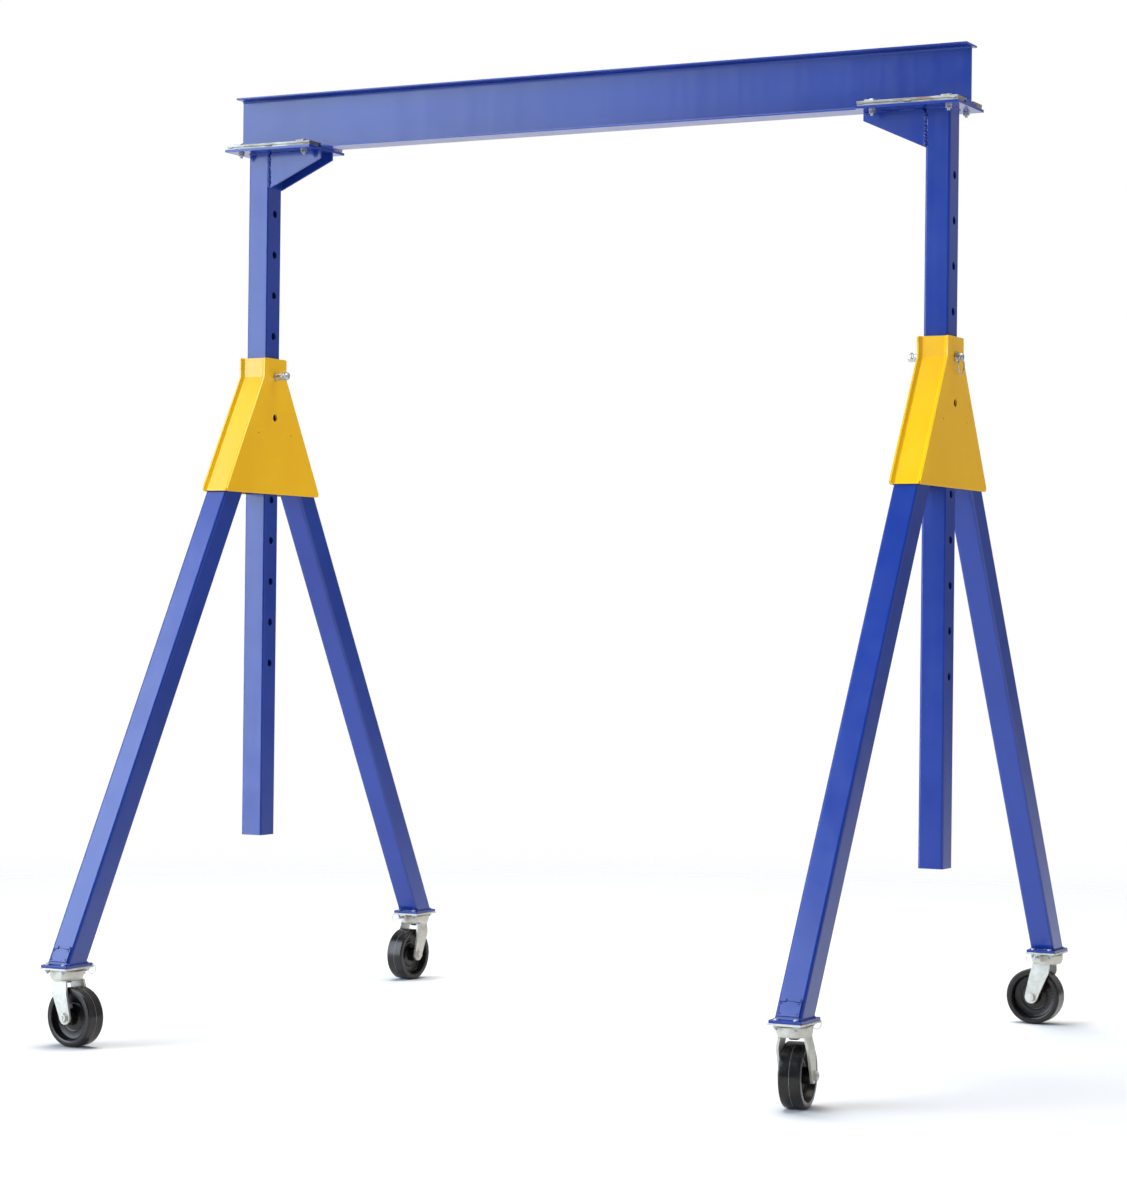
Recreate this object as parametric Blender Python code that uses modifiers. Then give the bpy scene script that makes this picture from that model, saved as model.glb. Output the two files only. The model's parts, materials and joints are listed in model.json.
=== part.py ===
"""Portable gantry crane: an adjustable-height steel gantry on four swivel casters.

The crane runs along X, its two A-frames spread along Y, and the floor is at Z = 0. An upper frame
(beam, top plates, gussets, clamps and two square posts) slides up and down in two leg frames (a
shroud and two splayed legs each). A height pin holds each post, and each leg stands on a swivel
caster whose spring plunger locks the swivel.

Every length is in metres. The driving dimensions come first, then what follows from them, then
the shapes, and last the parts in the order in which the crane is put together.
"""

import math

import bmesh
import bpy
from mathutils import Matrix, Vector

# ---- Driving dimensions ----------------------------------------------------------------------

GAP = 0.0003  # between two pieces that touch

UNDER_BEAM = 3.2004  # floor to the beam's underside
BEAM_LENGTH = 2.886
BEAM_DEPTH = 0.2032
FLANGE_WIDTH = 0.1016
FLANGE_THICKNESS = 0.0071
WEB_THICKNESS = 0.0064
BEAM_FILLET = 0.0095

POST_SPACING = 2.686  # centre to centre
POST_SIDE = 0.0889
POST_WALL = 0.0064
POST_CORNER = 0.0080
POST_LENGTH = 2.540
HOLE_PITCH = 0.1524
HOLE_COUNT = 12
HOLES_ABOVE_PIN = 4
FIRST_HOLE = 0.2224  # from the top of the post
PIN_HOLE_RADIUS = 0.0138

TOP_PLATE = (0.3683, 0.2477, 0.0095)
GUSSET_HEIGHT = 0.1310
GUSSET_LIP = 0.0292
GUSSET_COPE = 0.0130
GUSSET_THICKNESS = 0.0079
CLAMP_LENGTH = 0.3600
CLAMP_OUTER = 0.1180  # beam's middle plane to the clamp's outer edge
CLAMP_REACH = 0.0340  # beam's middle plane to the clamp's lip on the flange
CLAMP_SPACER = 0.0078
CLAMP_BAR = 0.0082
CLAMP_BOLT_SPACING = 0.2720
CLAMP_BOLT_Y = 0.0850
CLAMP_BOLT_RADIUS = 0.0063
CLAMP_BOLT_ACROSS = 0.0190  # across the flats
CLAMP_BOLT_HEAD = 0.0060
CLAMP_NUT = 0.0125
CLAMP_STUD = 0.0070

SHROUD_SIDE = 0.1111  # outside of one plate to the outside of the other
SHROUD_PLATE = 0.0064
SHROUD_STRIP = 0.0048
SHROUD_LIP = 0.0100
SHROUD_ABOVE_PIN = 0.0686
SHROUD_BELOW_PIN = 0.4375
SHROUD_CORNER = 0.0110
NECK_WIDTH = 0.1490
RIVET_HOLE_Y = 0.1105
RIVET_HOLE_BELOW_PIN = 0.2120
RIVET_HOLE_RADIUS = 0.0032

LEG_ANGLE = math.radians(29.5)  # from vertical
LEG_SIDE = 0.0889  # along X
LEG_DEPTH = 0.0970  # square to the leg, in the plane of the A
LEG_WALL = 0.0064
LEG_CORNER = 0.0090
LEG_POST_CLEARANCE = 0.0040
FOOT_Y = 1.1790  # middle of the leg where it meets its base plate
BASE_PLATE = (0.1080, 0.1524, 0.0095)

CASTER_HEIGHT = 0.2667
CASTER_PLATE = (0.1143, 0.1588, 0.0064)
CASTER_BOLT_X = 0.0320
CASTER_BOLT_Y = 0.0655
CASTER_BOLT_HOLE = 0.0056
RACE_RADIUS = 0.0440
RACE_HEIGHT = 0.0038
CROWN_RADIUS = 0.0575
CROWN_HEIGHT = 0.0340
KINGPIN_NUT_RADIUS = 0.0150
KINGPIN_NUT_HEIGHT = 0.0095
TRAIL = 0.0430
FORK_WIDTH = 0.1040
FORK_PLATE = 0.0080
FORK_TOP = (-0.0240, 0.0400)
FORK_TOP_DROP = 0.0218  # caster plate's underside to the top of the fork's sides
FORK_END_RADIUS = 0.0235
WHEEL_RADIUS = 0.1016
WHEEL_WIDTH = 0.0700
WHEEL_STEPS = 28
HUB_LENGTH = 0.0850
AXLE_RADIUS = 0.0063
AXLE_ACROSS = 0.0190
AXLE_HEAD = 0.0080
AXLE_NUT = 0.0110

LUG = (0.0220, 0.0120, 0.0250)
LUG_INNER_Y = 0.0665
PLUNGER_RADIUS = 0.0040
PLUNGER_DROP = 0.0093  # caster plate's underside to the plunger's middle
PLUNGER_TIP_GAP = 0.0006
PLUNGER_KNOB = (0.0056, 0.0320)  # radius and length
LOCK_SHIFT = 0.0100  # swivel axis to the plunger, along X
LOCK_EYE_INSET = 0.0050  # end of the knob to its eye
LOCK_RING = (0.0165, 0.0012)  # ring radius and wire radius
LOCK_EYE_RADIUS = 0.0030

HEIGHT_PIN_RADIUS = 0.0127
PIN_COLLAR = (0.0180, 0.0070)
PIN_NECK = (0.0120, 0.0190)
PIN_BEYOND = 0.0570  # shroud's face to the pin's tip
HAIRPIN_HOLE = 0.0430  # shroud's face to the hairpin
HAIRPIN_WIRE = 0.0018
HAIRPIN_HOLE_RADIUS = 0.0026
PIN_RING = (0.0285, 0.0024)
PIN_RING_EYE_RADIUS = 0.0060

ROUND_SIDES = 20
PIN_HOLE_SIDES = 20
SMALL_SIDES = 10
RING_SIDES = (20, 6)

SIDES = {"left": -1, "right": 1}
ROWS = {"front": -1, "rear": 1}
CASTER_YAW = {  # where each caster trails at rest, in degrees from +X
    ("left", "front"): -9,
    ("left", "rear"): -95,
    ("right", "front"): 97,
    ("right", "rear"): 180,
}

# ---- What follows from them ------------------------------------------------------------------

POST_HALF = POST_SIDE / 2
POST_TOP = UNDER_BEAM - TOP_PLATE[2] - 2 * GAP
PIN_Z = POST_TOP - FIRST_HOLE - HOLES_ABOVE_PIN * HOLE_PITCH
SHROUD_HALF = SHROUD_SIDE / 2
SHROUD_BOTTOM = PIN_Z - SHROUD_BELOW_PIN
SHROUD_TOP = PIN_Z + SHROUD_ABOVE_PIN
BASE_BOTTOM = CASTER_HEIGHT + GAP
LEG_BOTTOM = BASE_BOTTOM + BASE_PLATE[2] + GAP
LEG_HALF_LEVEL = LEG_DEPTH / 2 / math.cos(LEG_ANGLE)  # half its depth, measured level
PLATE_UNDERSIDE = CASTER_HEIGHT - CASTER_PLATE[2]
CROWN_TOP = PLATE_UNDERSIDE - RACE_HEIGHT - GAP
AXLE_Z = WHEEL_RADIUS * math.cos(math.pi / WHEEL_STEPS)  # a flat of the wheel rests on the floor
PLUNGER_Z = PLATE_UNDERSIDE - PLUNGER_DROP
X_PLANE = (math.pi / 2, 0, math.pi / 2)  # turns an outline of (y, z) to face along X
Y_PLANE = (math.pi / 2, 0, 0)  # turns an outline of (x, z) to face along Y

PAINT_BLUE = ((0.030, 0.058, 0.360), 0.30, 0.0)
PAINT_YELLOW = ((0.850, 0.560, 0.030), 0.35, 0.0)
BARE_STEEL = ((0.480, 0.460, 0.420), 0.45, 0.9)
ZINC = ((0.620, 0.610, 0.560), 0.35, 0.9)
BLACK_RESIN = ((0.012, 0.012, 0.013), 0.25, 0.0)


def leg_y(z):
    """The leg's middle, as a distance from the beam's middle plane, at height z."""
    return FOOT_Y - (z - LEG_BOTTOM) * math.tan(LEG_ANGLE)


def shroud_half_width(z):
    """Half the shroud plate's width at height z, on its sloping part."""
    strip = SHROUD_STRIP / math.cos(LEG_ANGLE)
    return leg_y(z) + LEG_HALF_LEVEL + 2 * GAP + strip + SHROUD_LIP


SHROUD_BEND = LEG_BOTTOM + (shroud_half_width(LEG_BOTTOM) - NECK_WIDTH / 2) / math.tan(LEG_ANGLE)
LEG_TOP = LEG_BOTTOM + (FOOT_Y - LEG_HALF_LEVEL - POST_HALF - LEG_POST_CLEARANCE) / math.tan(LEG_ANGLE)

# ---- Shapes ----------------------------------------------------------------------------------


def fresh_collection(name):
    collection = bpy.data.collections.new(name)
    bpy.context.scene.collection.children.link(collection)
    return collection


def add_object(name, mesh, finish, location=(0, 0, 0), rotation=(0, 0, 0), parent=None):
    """Put a mesh in the scene as a named part with a material of its own."""
    colour, roughness, metallic = finish
    material = bpy.data.materials.new(name)
    material.use_nodes = True
    shader = material.node_tree.nodes["Principled BSDF"]
    shader.inputs["Base Color"].default_value = (*colour, 1)
    shader.inputs["Roughness"].default_value = roughness
    shader.inputs["Metallic"].default_value = metallic
    mesh.materials.clear()
    mesh.materials.append(material)
    mesh.name = name
    part = bpy.data.objects.new(name, mesh)
    part.location = location
    part.rotation_euler = rotation
    part.parent = parent
    PARTS.objects.link(part)
    return part


def add_helper(name, mesh, location=(0, 0, 0), rotation=(0, 0, 0), parent=None):
    """Put a mesh in the scene as a cutter, or as a shape that is joined to a part."""
    helper = bpy.data.objects.new(name, mesh)
    helper.location = location
    helper.rotation_euler = rotation
    helper.parent = parent
    helper.hide_render = True
    helper.display_type = "WIRE"
    CUTTERS.objects.link(helper)
    return helper


def combine(part, helper, operation):
    modifier = part.modifiers.new(helper.name, "BOOLEAN")
    modifier.operation = operation
    modifier.solver = "EXACT"
    modifier.object = helper


def finished_mesh(shape):
    bmesh.ops.recalc_face_normals(shape, faces=shape.faces)
    mesh = bpy.data.meshes.new("shape")
    shape.to_mesh(mesh)
    shape.free()
    return mesh


def box(size, centre=(0, 0, 0), corner=0.0, steps=5):
    """A box, whose four upright edges are rounded where corner is given."""
    shape = bmesh.new()
    bmesh.ops.create_cube(shape, size=1)
    bmesh.ops.scale(shape, vec=size, verts=shape.verts)
    if corner:
        upright = [edge for edge in shape.edges if abs(edge.verts[0].co.z - edge.verts[1].co.z) > size[2] / 2]
        bmesh.ops.bevel(shape, geom=upright, offset=corner, segments=steps, profile=0.5, affect="EDGES")
    bmesh.ops.translate(shape, vec=centre, verts=shape.verts)
    return finished_mesh(shape)


def rods(radius, length, places, axis="Z", sides=ROUND_SIDES, turn=0.0):
    """Cylinders (hexagons with 6 sides) along one axis, centred on the places given."""
    shape = bmesh.new()
    along = {
        "X": Matrix.Rotation(math.pi / 2, 4, "Y"),
        "Y": Matrix.Rotation(math.pi / 2, 4, "X"),
        "Z": Matrix.Identity(4),
    }[axis]
    for place in places:
        bmesh.ops.create_cone(
            shape,
            cap_ends=True,
            segments=sides,
            radius1=radius,
            radius2=radius,
            depth=length,
            matrix=Matrix.Translation(place) @ along @ Matrix.Rotation(turn, 4, "Z"),
        )
    return finished_mesh(shape)


def hexagon_radius(across):
    return across / 2 / math.cos(math.pi / 6)


def rounded(points, radius, steps=4):
    """The outline's points, with each corner that is given a radius replaced by an arc."""
    outline = []
    for index, (point, turn) in enumerate(zip(points, radius)):
        here = Vector(point)
        if not turn:
            outline.append(here)
            continue
        to_last = (Vector(points[index - 1]) - here).normalized()
        to_next = (Vector(points[(index + 1) % len(points)]) - here).normalized()
        half = to_last.angle(to_next) / 2
        centre = here + (to_last + to_next).normalized() * turn / math.sin(half)
        first = here + to_last * turn / math.tan(half) - centre
        last = here + to_next * turn / math.tan(half) - centre
        sweep = first.angle_signed(last)
        for step in range(steps + 1):
            angle = -sweep * step / steps
            swung = (
                first.x * math.cos(angle) - first.y * math.sin(angle),
                first.x * math.sin(angle) + first.y * math.cos(angle),
            )
            outline.append(centre + Vector(swung))
    return outline


def slab(outline, thickness):
    """A flat outline, thickened evenly to both sides of its plane."""
    curve = bpy.data.curves.new("outline", "CURVE")
    curve.dimensions = "2D"
    curve.fill_mode = "BOTH"
    curve.extrude = thickness / 2
    spline = curve.splines.new("POLY")
    spline.points.add(len(outline) - 1)
    for point, (across, up) in zip(spline.points, outline):
        point.co = (across, up, 0, 1)
    spline.use_cyclic_u = True
    return mesh_of_curve(curve)


def wire(points, radius, resolution=2):
    """A round wire along the points, with closed ends."""
    curve = bpy.data.curves.new("wire", "CURVE")
    curve.dimensions = "3D"
    curve.bevel_depth = radius
    curve.bevel_resolution = resolution
    curve.use_fill_caps = True
    spline = curve.splines.new("POLY")
    spline.points.add(len(points) - 1)
    for point, place in zip(spline.points, points):
        point.co = (*place, 1)
    return mesh_of_curve(curve)


def mesh_of_curve(curve):
    holder = bpy.data.objects.new("curve", curve)
    CUTTERS.objects.link(holder)
    graph = bpy.context.evaluated_depsgraph_get()
    mesh = bpy.data.meshes.new_from_object(holder.evaluated_get(graph))
    bpy.data.objects.remove(holder)
    shape = bmesh.new()
    shape.from_mesh(mesh)
    bmesh.ops.remove_doubles(shape, verts=shape.verts, dist=0.00001)
    bpy.data.meshes.remove(mesh)
    return finished_mesh(shape)


def profile(points, start=0.0, closed=True):
    """An outline of (radius, height) points, ready for a Screw about Z. It is open at the axis or closed."""
    shape = bmesh.new()
    line = [shape.verts.new((r * math.cos(start), r * math.sin(start), z)) for r, z in points]
    pairs = list(zip(line, line[1:]))
    if closed:
        pairs.append((line[-1], line[0]))
    for pair in pairs:
        shape.edges.new(pair)
    mesh = bpy.data.meshes.new("profile")
    shape.to_mesh(mesh)
    shape.free()
    return mesh


def turn_about_z(part, steps):
    screw = part.modifiers.new("turned", "SCREW")
    screw.angle = 2 * math.pi
    screw.steps = steps
    screw.render_steps = steps
    screw.use_merge_vertices = True
    screw.merge_threshold = 0.00001
    screw.use_smooth_shade = False


def ring_mesh(radius, wire_radius):
    major, minor = RING_SIDES
    bpy.ops.mesh.primitive_torus_add(
        major_radius=radius,
        minor_radius=wire_radius,
        major_segments=major,
        minor_segments=minor,
    )
    torus = bpy.context.object
    mesh = torus.data
    bpy.data.objects.remove(torus)
    return mesh


# ---- Upper frame -----------------------------------------------------------------------------


def beam():
    """An I-beam: half its outline is drawn and mirrored by arithmetic, with a fillet at the web."""
    half_flange = FLANGE_WIDTH / 2
    half_web = WEB_THICKNESS / 2
    low = UNDER_BEAM
    high = UNDER_BEAM + BEAM_DEPTH
    right_side = [
        (half_flange, low),
        (half_flange, low + FLANGE_THICKNESS),
        (half_web, low + FLANGE_THICKNESS),
        (half_web, high - FLANGE_THICKNESS),
        (half_flange, high - FLANGE_THICKNESS),
        (half_flange, high),
    ]
    radius = [0.0015, 0.0025, BEAM_FILLET, BEAM_FILLET, 0.0025, 0.0015]
    left_side = [(-y, z) for y, z in reversed(right_side)]
    outline = rounded(right_side + left_side, radius + radius[::-1], steps=5)
    add_object("beam", slab(outline, BEAM_LENGTH), PAINT_BLUE, rotation=X_PLANE)


def post(side, sign):
    """A square tube with a row of holes through both of its X walls."""
    name = f"{side}_post"
    middle = (sign * POST_SPACING / 2, 0, POST_TOP - POST_LENGTH / 2)
    tube = add_object(name, box((POST_SIDE, POST_SIDE, POST_LENGTH), corner=POST_CORNER), PAINT_BLUE, middle)
    inside = POST_SIDE - 2 * POST_WALL
    hollow = box((inside, inside, POST_LENGTH + 0.02))
    combine(tube, add_helper(f"{name}_hollow", hollow, middle), "DIFFERENCE")
    first = POST_LENGTH / 2 - FIRST_HOLE
    places = [(0, 0, first - index * HOLE_PITCH) for index in range(HOLE_COUNT)]
    holes = rods(PIN_HOLE_RADIUS, POST_SIDE + 0.02, places, "X", PIN_HOLE_SIDES)
    combine(tube, add_helper(f"{name}_holes", holes, middle), "DIFFERENCE")


def plate_centre_x(sign):
    return sign * (BEAM_LENGTH / 2 - TOP_PLATE[0] / 2)


def clamp_bolt_places(sign, y, z):
    middle = plate_centre_x(sign)
    return [(middle + step * CLAMP_BOLT_SPACING / 2, y, z) for step in (-1, 1)]


def top_plate(side, sign):
    """The plate on top of a post, under the end of the beam, with four holes for the clamp bolts."""
    name = f"{side}_top_plate"
    height = POST_TOP + GAP + TOP_PLATE[2] / 2
    plate = add_object(name, box(TOP_PLATE, (plate_centre_x(sign), 0, height)), PAINT_BLUE)
    places = []
    for row in ROWS.values():
        places += clamp_bolt_places(sign, row * CLAMP_BOLT_Y, height)
    holes = rods(CLAMP_BOLT_RADIUS + 0.0007, TOP_PLATE[2] + 0.01, places, sides=SMALL_SIDES)
    combine(plate, add_helper(f"{name}_holes", holes), "DIFFERENCE")


def gusset(side, sign, row, out):
    """A triangular web between the post's inner wall and the top plate."""
    root = POST_SPACING / 2 - POST_HALF - GAP
    tip = BEAM_LENGTH / 2 - TOP_PLATE[0]
    top = POST_TOP
    outline = [
        (sign * root, top - GUSSET_HEIGHT),
        (sign * root, top - GUSSET_COPE),
        (sign * (root - GUSSET_COPE), top),
        (sign * tip, top),
        (sign * tip, top - GUSSET_LIP),
    ]
    place = (0, out * (POST_HALF - GUSSET_THICKNESS / 2), 0)
    add_object(f"{side}_{row}_gusset", slab(outline, GUSSET_THICKNESS), PAINT_BLUE, place, Y_PLANE)


def clamp(side, sign, row, out):
    """A spacer bar and a clamp bar over the flange's edge, with the two bolts that hold them down."""
    name = f"{side}_{row}_clamp"
    low = UNDER_BEAM
    step = low + CLAMP_SPACER
    high = step + CLAMP_BAR
    flange_edge = FLANGE_WIDTH / 2 + 0.0016
    outline = [
        (out * CLAMP_OUTER, low),
        (out * flange_edge, low),
        (out * flange_edge, step),
        (out * CLAMP_REACH, step),
        (out * CLAMP_REACH, high),
        (out * CLAMP_OUTER, high),
    ]
    middle = (plate_centre_x(sign), 0, 0)
    bars = add_object(name, slab(outline, CLAMP_LENGTH), BARE_STEEL, middle, X_PLANE)
    y = out * CLAMP_BOLT_Y
    plate_low = POST_TOP + GAP
    hexagon = hexagon_radius(CLAMP_BOLT_ACROSS)
    heads_z = high + CLAMP_BOLT_HEAD / 2 - 0.0005
    heads = rods(hexagon, CLAMP_BOLT_HEAD + 0.001, clamp_bolt_places(sign, y, heads_z), sides=6)
    bottom = plate_low - GAP - CLAMP_NUT - CLAMP_STUD
    shank_places = clamp_bolt_places(sign, y, (high + bottom) / 2)
    shanks = rods(CLAMP_BOLT_RADIUS, high - bottom, shank_places, sides=SMALL_SIDES)
    nuts_z = plate_low - GAP - CLAMP_NUT / 2
    nuts = rods(hexagon, CLAMP_NUT, clamp_bolt_places(sign, y, nuts_z), sides=6)
    for word, shape in (("heads", heads), ("shanks", shanks), ("nuts", nuts)):
        combine(bars, add_helper(f"{name}_{word}", shape), "UNION")


# ---- Leg frames ------------------------------------------------------------------------------


def shroud_plate(side, face, x):
    """A flat plate with a straight neck and sloping edges, with two pin holes and two rivet holes."""
    name = f"{side}_{face}_shroud_plate"
    neck = NECK_WIDTH / 2
    foot = shroud_half_width(SHROUD_BOTTOM)
    right_side = [(foot, SHROUD_BOTTOM), (neck, SHROUD_BEND), (neck, SHROUD_TOP)]
    left_side = [(-y, z) for y, z in reversed(right_side)]
    corner = [SHROUD_CORNER, 0, 0.004]
    outline = rounded(right_side + left_side, corner + corner[::-1])
    plate = add_object(name, slab(outline, SHROUD_PLATE), PAINT_YELLOW, (x, 0, 0), X_PLANE)
    pin_places = [(x, 0, PIN_Z), (x, 0, PIN_Z - HOLE_PITCH)]
    rivet_places = [(x, y, PIN_Z - RIVET_HOLE_BELOW_PIN) for y in (-RIVET_HOLE_Y, RIVET_HOLE_Y)]
    depth = SHROUD_PLATE + 0.01
    pin_holes = rods(PIN_HOLE_RADIUS, depth, pin_places, "X", PIN_HOLE_SIDES)
    rivet_holes = rods(RIVET_HOLE_RADIUS, depth, rivet_places, "X", SMALL_SIDES)
    combine(plate, add_helper(f"{name}_pin_holes", pin_holes), "DIFFERENCE")
    combine(plate, add_helper(f"{name}_rivet_holes", rivet_holes), "DIFFERENCE")


def shroud_strip(side, x, row, out):
    """A strip bent at the neck, which closes the shroud between its two plates."""
    level = SHROUD_STRIP / math.cos(LEG_ANGLE)
    low = SHROUD_BOTTOM + 0.002
    outer = [
        (NECK_WIDTH / 2 - SHROUD_LIP, SHROUD_TOP - 0.001),
        (NECK_WIDTH / 2 - SHROUD_LIP, SHROUD_BEND),
        (shroud_half_width(low) - SHROUD_LIP, low),
    ]
    inner = [(outer[2][0] - level, low), (outer[1][0] - SHROUD_STRIP, SHROUD_BEND)]
    inner += [(outer[0][0] - SHROUD_STRIP, outer[0][1])]
    outline = [(out * y, z) for y, z in outer + inner]
    width = SHROUD_SIDE - 2 * SHROUD_PLATE - 2 * GAP
    add_object(f"{side}_{row}_shroud_strip", slab(outline, width), PAINT_YELLOW, (x, 0, 0), X_PLANE)


def slanted(mesh, out):
    """Lean an upright tube at the leg's angle: each level slice slides along Y."""
    shape = bmesh.new()
    shape.from_mesh(mesh)
    for vert in shape.verts:
        vert.co.y = vert.co.y / math.cos(LEG_ANGLE) + out * leg_y(vert.co.z)
    bpy.data.meshes.remove(mesh)
    return finished_mesh(shape)


def leg(side, x, row, out):
    """A rectangular tube, cut level at its foot and at its top inside the shroud."""
    name = f"{side}_{row}_leg"
    length = LEG_TOP - LEG_BOTTOM
    middle = (0, 0, (LEG_TOP + LEG_BOTTOM) / 2)
    tube = slanted(box((LEG_SIDE, LEG_DEPTH, length), middle, LEG_CORNER), out)
    inside = (LEG_SIDE - 2 * LEG_WALL, LEG_DEPTH - 2 * LEG_WALL, length + 0.02)
    part = add_object(name, tube, PAINT_BLUE, (x, 0, 0))
    combine(part, add_helper(f"{name}_hollow", slanted(box(inside, middle), out), (x, 0, 0)), "DIFFERENCE")


def caster_bolt_places(z):
    return [(x, y, z) for x in (-CASTER_BOLT_X, CASTER_BOLT_X) for y in (-CASTER_BOLT_Y, CASTER_BOLT_Y)]


def base_plate(name, place):
    """The plate welded under a leg."""
    z = BASE_BOTTOM + BASE_PLATE[2] / 2
    plate = add_object(f"{name}_base_plate", box(BASE_PLATE, (0, 0, z), 0.004), PAINT_BLUE, place)
    holes = rods(CASTER_BOLT_HOLE, BASE_PLATE[2] + 0.01, caster_bolt_places(z), sides=8)
    combine(plate, add_helper(f"{name}_base_plate_holes", holes, place), "DIFFERENCE")


# ---- Casters ---------------------------------------------------------------------------------


def caster_plate(name, place, inward):
    """The caster's bolting plate, with its upper race and the drilled lug of the swivel lock."""
    z = CASTER_HEIGHT - CASTER_PLATE[2] / 2
    plate = add_object(f"{name}_caster_plate", box(CASTER_PLATE, (0, 0, z), 0.005), ZINC, place)
    race = rods(RACE_RADIUS, RACE_HEIGHT + 0.002, [(0, 0, PLATE_UNDERSIDE - RACE_HEIGHT / 2 + 0.001)])
    lug_x = inward * LOCK_SHIFT
    lug_y = inward * (LUG_INNER_Y + LUG[1] / 2)
    lug = box((LUG[0], LUG[1], LUG[2] + 0.002), (lug_x, lug_y, PLATE_UNDERSIDE - LUG[2] / 2 + 0.001))
    bolt_holes = rods(CASTER_BOLT_HOLE, CASTER_PLATE[2] + 0.01, caster_bolt_places(z), sides=8)
    bore = rods(PLUNGER_RADIUS + 0.0004, LUG[1] + 0.004, [(lug_x, lug_y, PLUNGER_Z)], "Y", SMALL_SIDES)
    combine(plate, add_helper(f"{name}_race", race, place), "UNION")
    combine(plate, add_helper(f"{name}_lug", lug, place), "UNION")
    combine(plate, add_helper(f"{name}_bolt_holes", bolt_holes, place), "DIFFERENCE")
    combine(plate, add_helper(f"{name}_plunger_bore", bore, place), "DIFFERENCE")


def tangent_angle(corner, way):
    """Where a line from a top corner of the fork's side touches its round end, as an angle."""
    across = corner[0] - TRAIL
    up = corner[1] - AXLE_Z
    return math.atan2(up, across) + way * math.acos(FORK_END_RADIUS / math.hypot(across, up))


def fork(name, swivel):
    """The swivelling yoke: a turned crown, the kingpin's nut and two raked side plates."""
    low = CROWN_TOP - CROWN_HEIGHT
    crown = rods(CROWN_RADIUS, CROWN_HEIGHT, [(0, 0, low + CROWN_HEIGHT / 2)], sides=28)
    part = add_object(f"{name}_fork", crown, ZINC, parent=swivel)
    nut_middle = low - KINGPIN_NUT_HEIGHT / 2
    nut = rods(KINGPIN_NUT_RADIUS, KINGPIN_NUT_HEIGHT + 0.002, [(0, 0, nut_middle)], sides=6)
    combine(part, add_helper(f"{name}_kingpin_nut", nut, parent=swivel), "UNION")
    top = PLATE_UNDERSIDE - FORK_TOP_DROP
    back, front = [(x, top) for x in FORK_TOP]
    first = tangent_angle(back, 1)
    last = tangent_angle(front, -1) + 2 * math.pi
    outline = [back]
    arc_steps = 8
    for step in range(arc_steps + 1):
        angle = first + (last - first) * step / arc_steps
        reach = FORK_END_RADIUS * math.cos(angle)
        outline.append((TRAIL + reach, AXLE_Z + FORK_END_RADIUS * math.sin(angle)))
    outline.append(front)
    for word, across in (("near", -1), ("far", 1)):
        y = across * (FORK_WIDTH / 2 - FORK_PLATE / 2)
        cheek = slab(outline, FORK_PLATE)
        combine(part, add_helper(f"{name}_fork_{word}", cheek, (0, y, 0), Y_PLANE, swivel), "UNION")
    bore = rods(AXLE_RADIUS + 0.0004, FORK_WIDTH + 0.01, [(TRAIL, 0, AXLE_Z)], "Y", SMALL_SIDES + 2)
    combine(part, add_helper(f"{name}_axle_bore", bore, parent=swivel), "DIFFERENCE")


def axle_bolt(name, swivel):
    """The wheel's axle: a bolt with its head and nut outside the fork."""
    shank_end = FORK_WIDTH / 2 + GAP + AXLE_NUT + 0.003
    head_end = FORK_WIDTH / 2 + GAP + 0.001
    middle = (head_end - shank_end) / 2
    shank = rods(AXLE_RADIUS, shank_end + head_end, [(0, middle, 0)], "Y", SMALL_SIDES + 2)
    bolt = add_object(f"{name}_axle_bolt", shank, ZINC, (TRAIL, 0, AXLE_Z), parent=swivel)
    hexagon = hexagon_radius(AXLE_ACROSS)
    head = rods(hexagon, AXLE_HEAD, [(0, FORK_WIDTH / 2 + GAP + AXLE_HEAD / 2, 0)], "Y", 6)
    nut = rods(hexagon, AXLE_NUT, [(0, -FORK_WIDTH / 2 - GAP - AXLE_NUT / 2, 0)], "Y", 6)
    place = (TRAIL, 0, AXLE_Z)
    combine(bolt, add_helper(f"{name}_axle_head", head, place, parent=swivel), "UNION")
    combine(bolt, add_helper(f"{name}_axle_nut", nut, place, parent=swivel), "UNION")


def wheel(name, swivel):
    """A solid wheel: a broad tread, a thinner web and a long hub, turned about its axle."""
    half = WHEEL_WIDTH / 2
    hub = HUB_LENGTH / 2
    bore = AXLE_RADIUS + 0.0005
    upper = [(bore, hub), (0.0230, hub), (0.0265, 0.0110), (0.0760, 0.0095), (0.0800, half - 0.002)]
    upper += [(WHEEL_RADIUS - 0.0050, half), (WHEEL_RADIUS, half - 0.0050)]
    outline = upper + [(r, -z) for r, z in reversed(upper)]
    mesh = profile(outline, math.pi / WHEEL_STEPS)
    place = (TRAIL, 0, AXLE_Z)
    part = add_object(f"{name}_wheel", mesh, BLACK_RESIN, place, (math.pi / 2, 0, 0), swivel)
    turn_about_z(part, WHEEL_STEPS)


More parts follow.
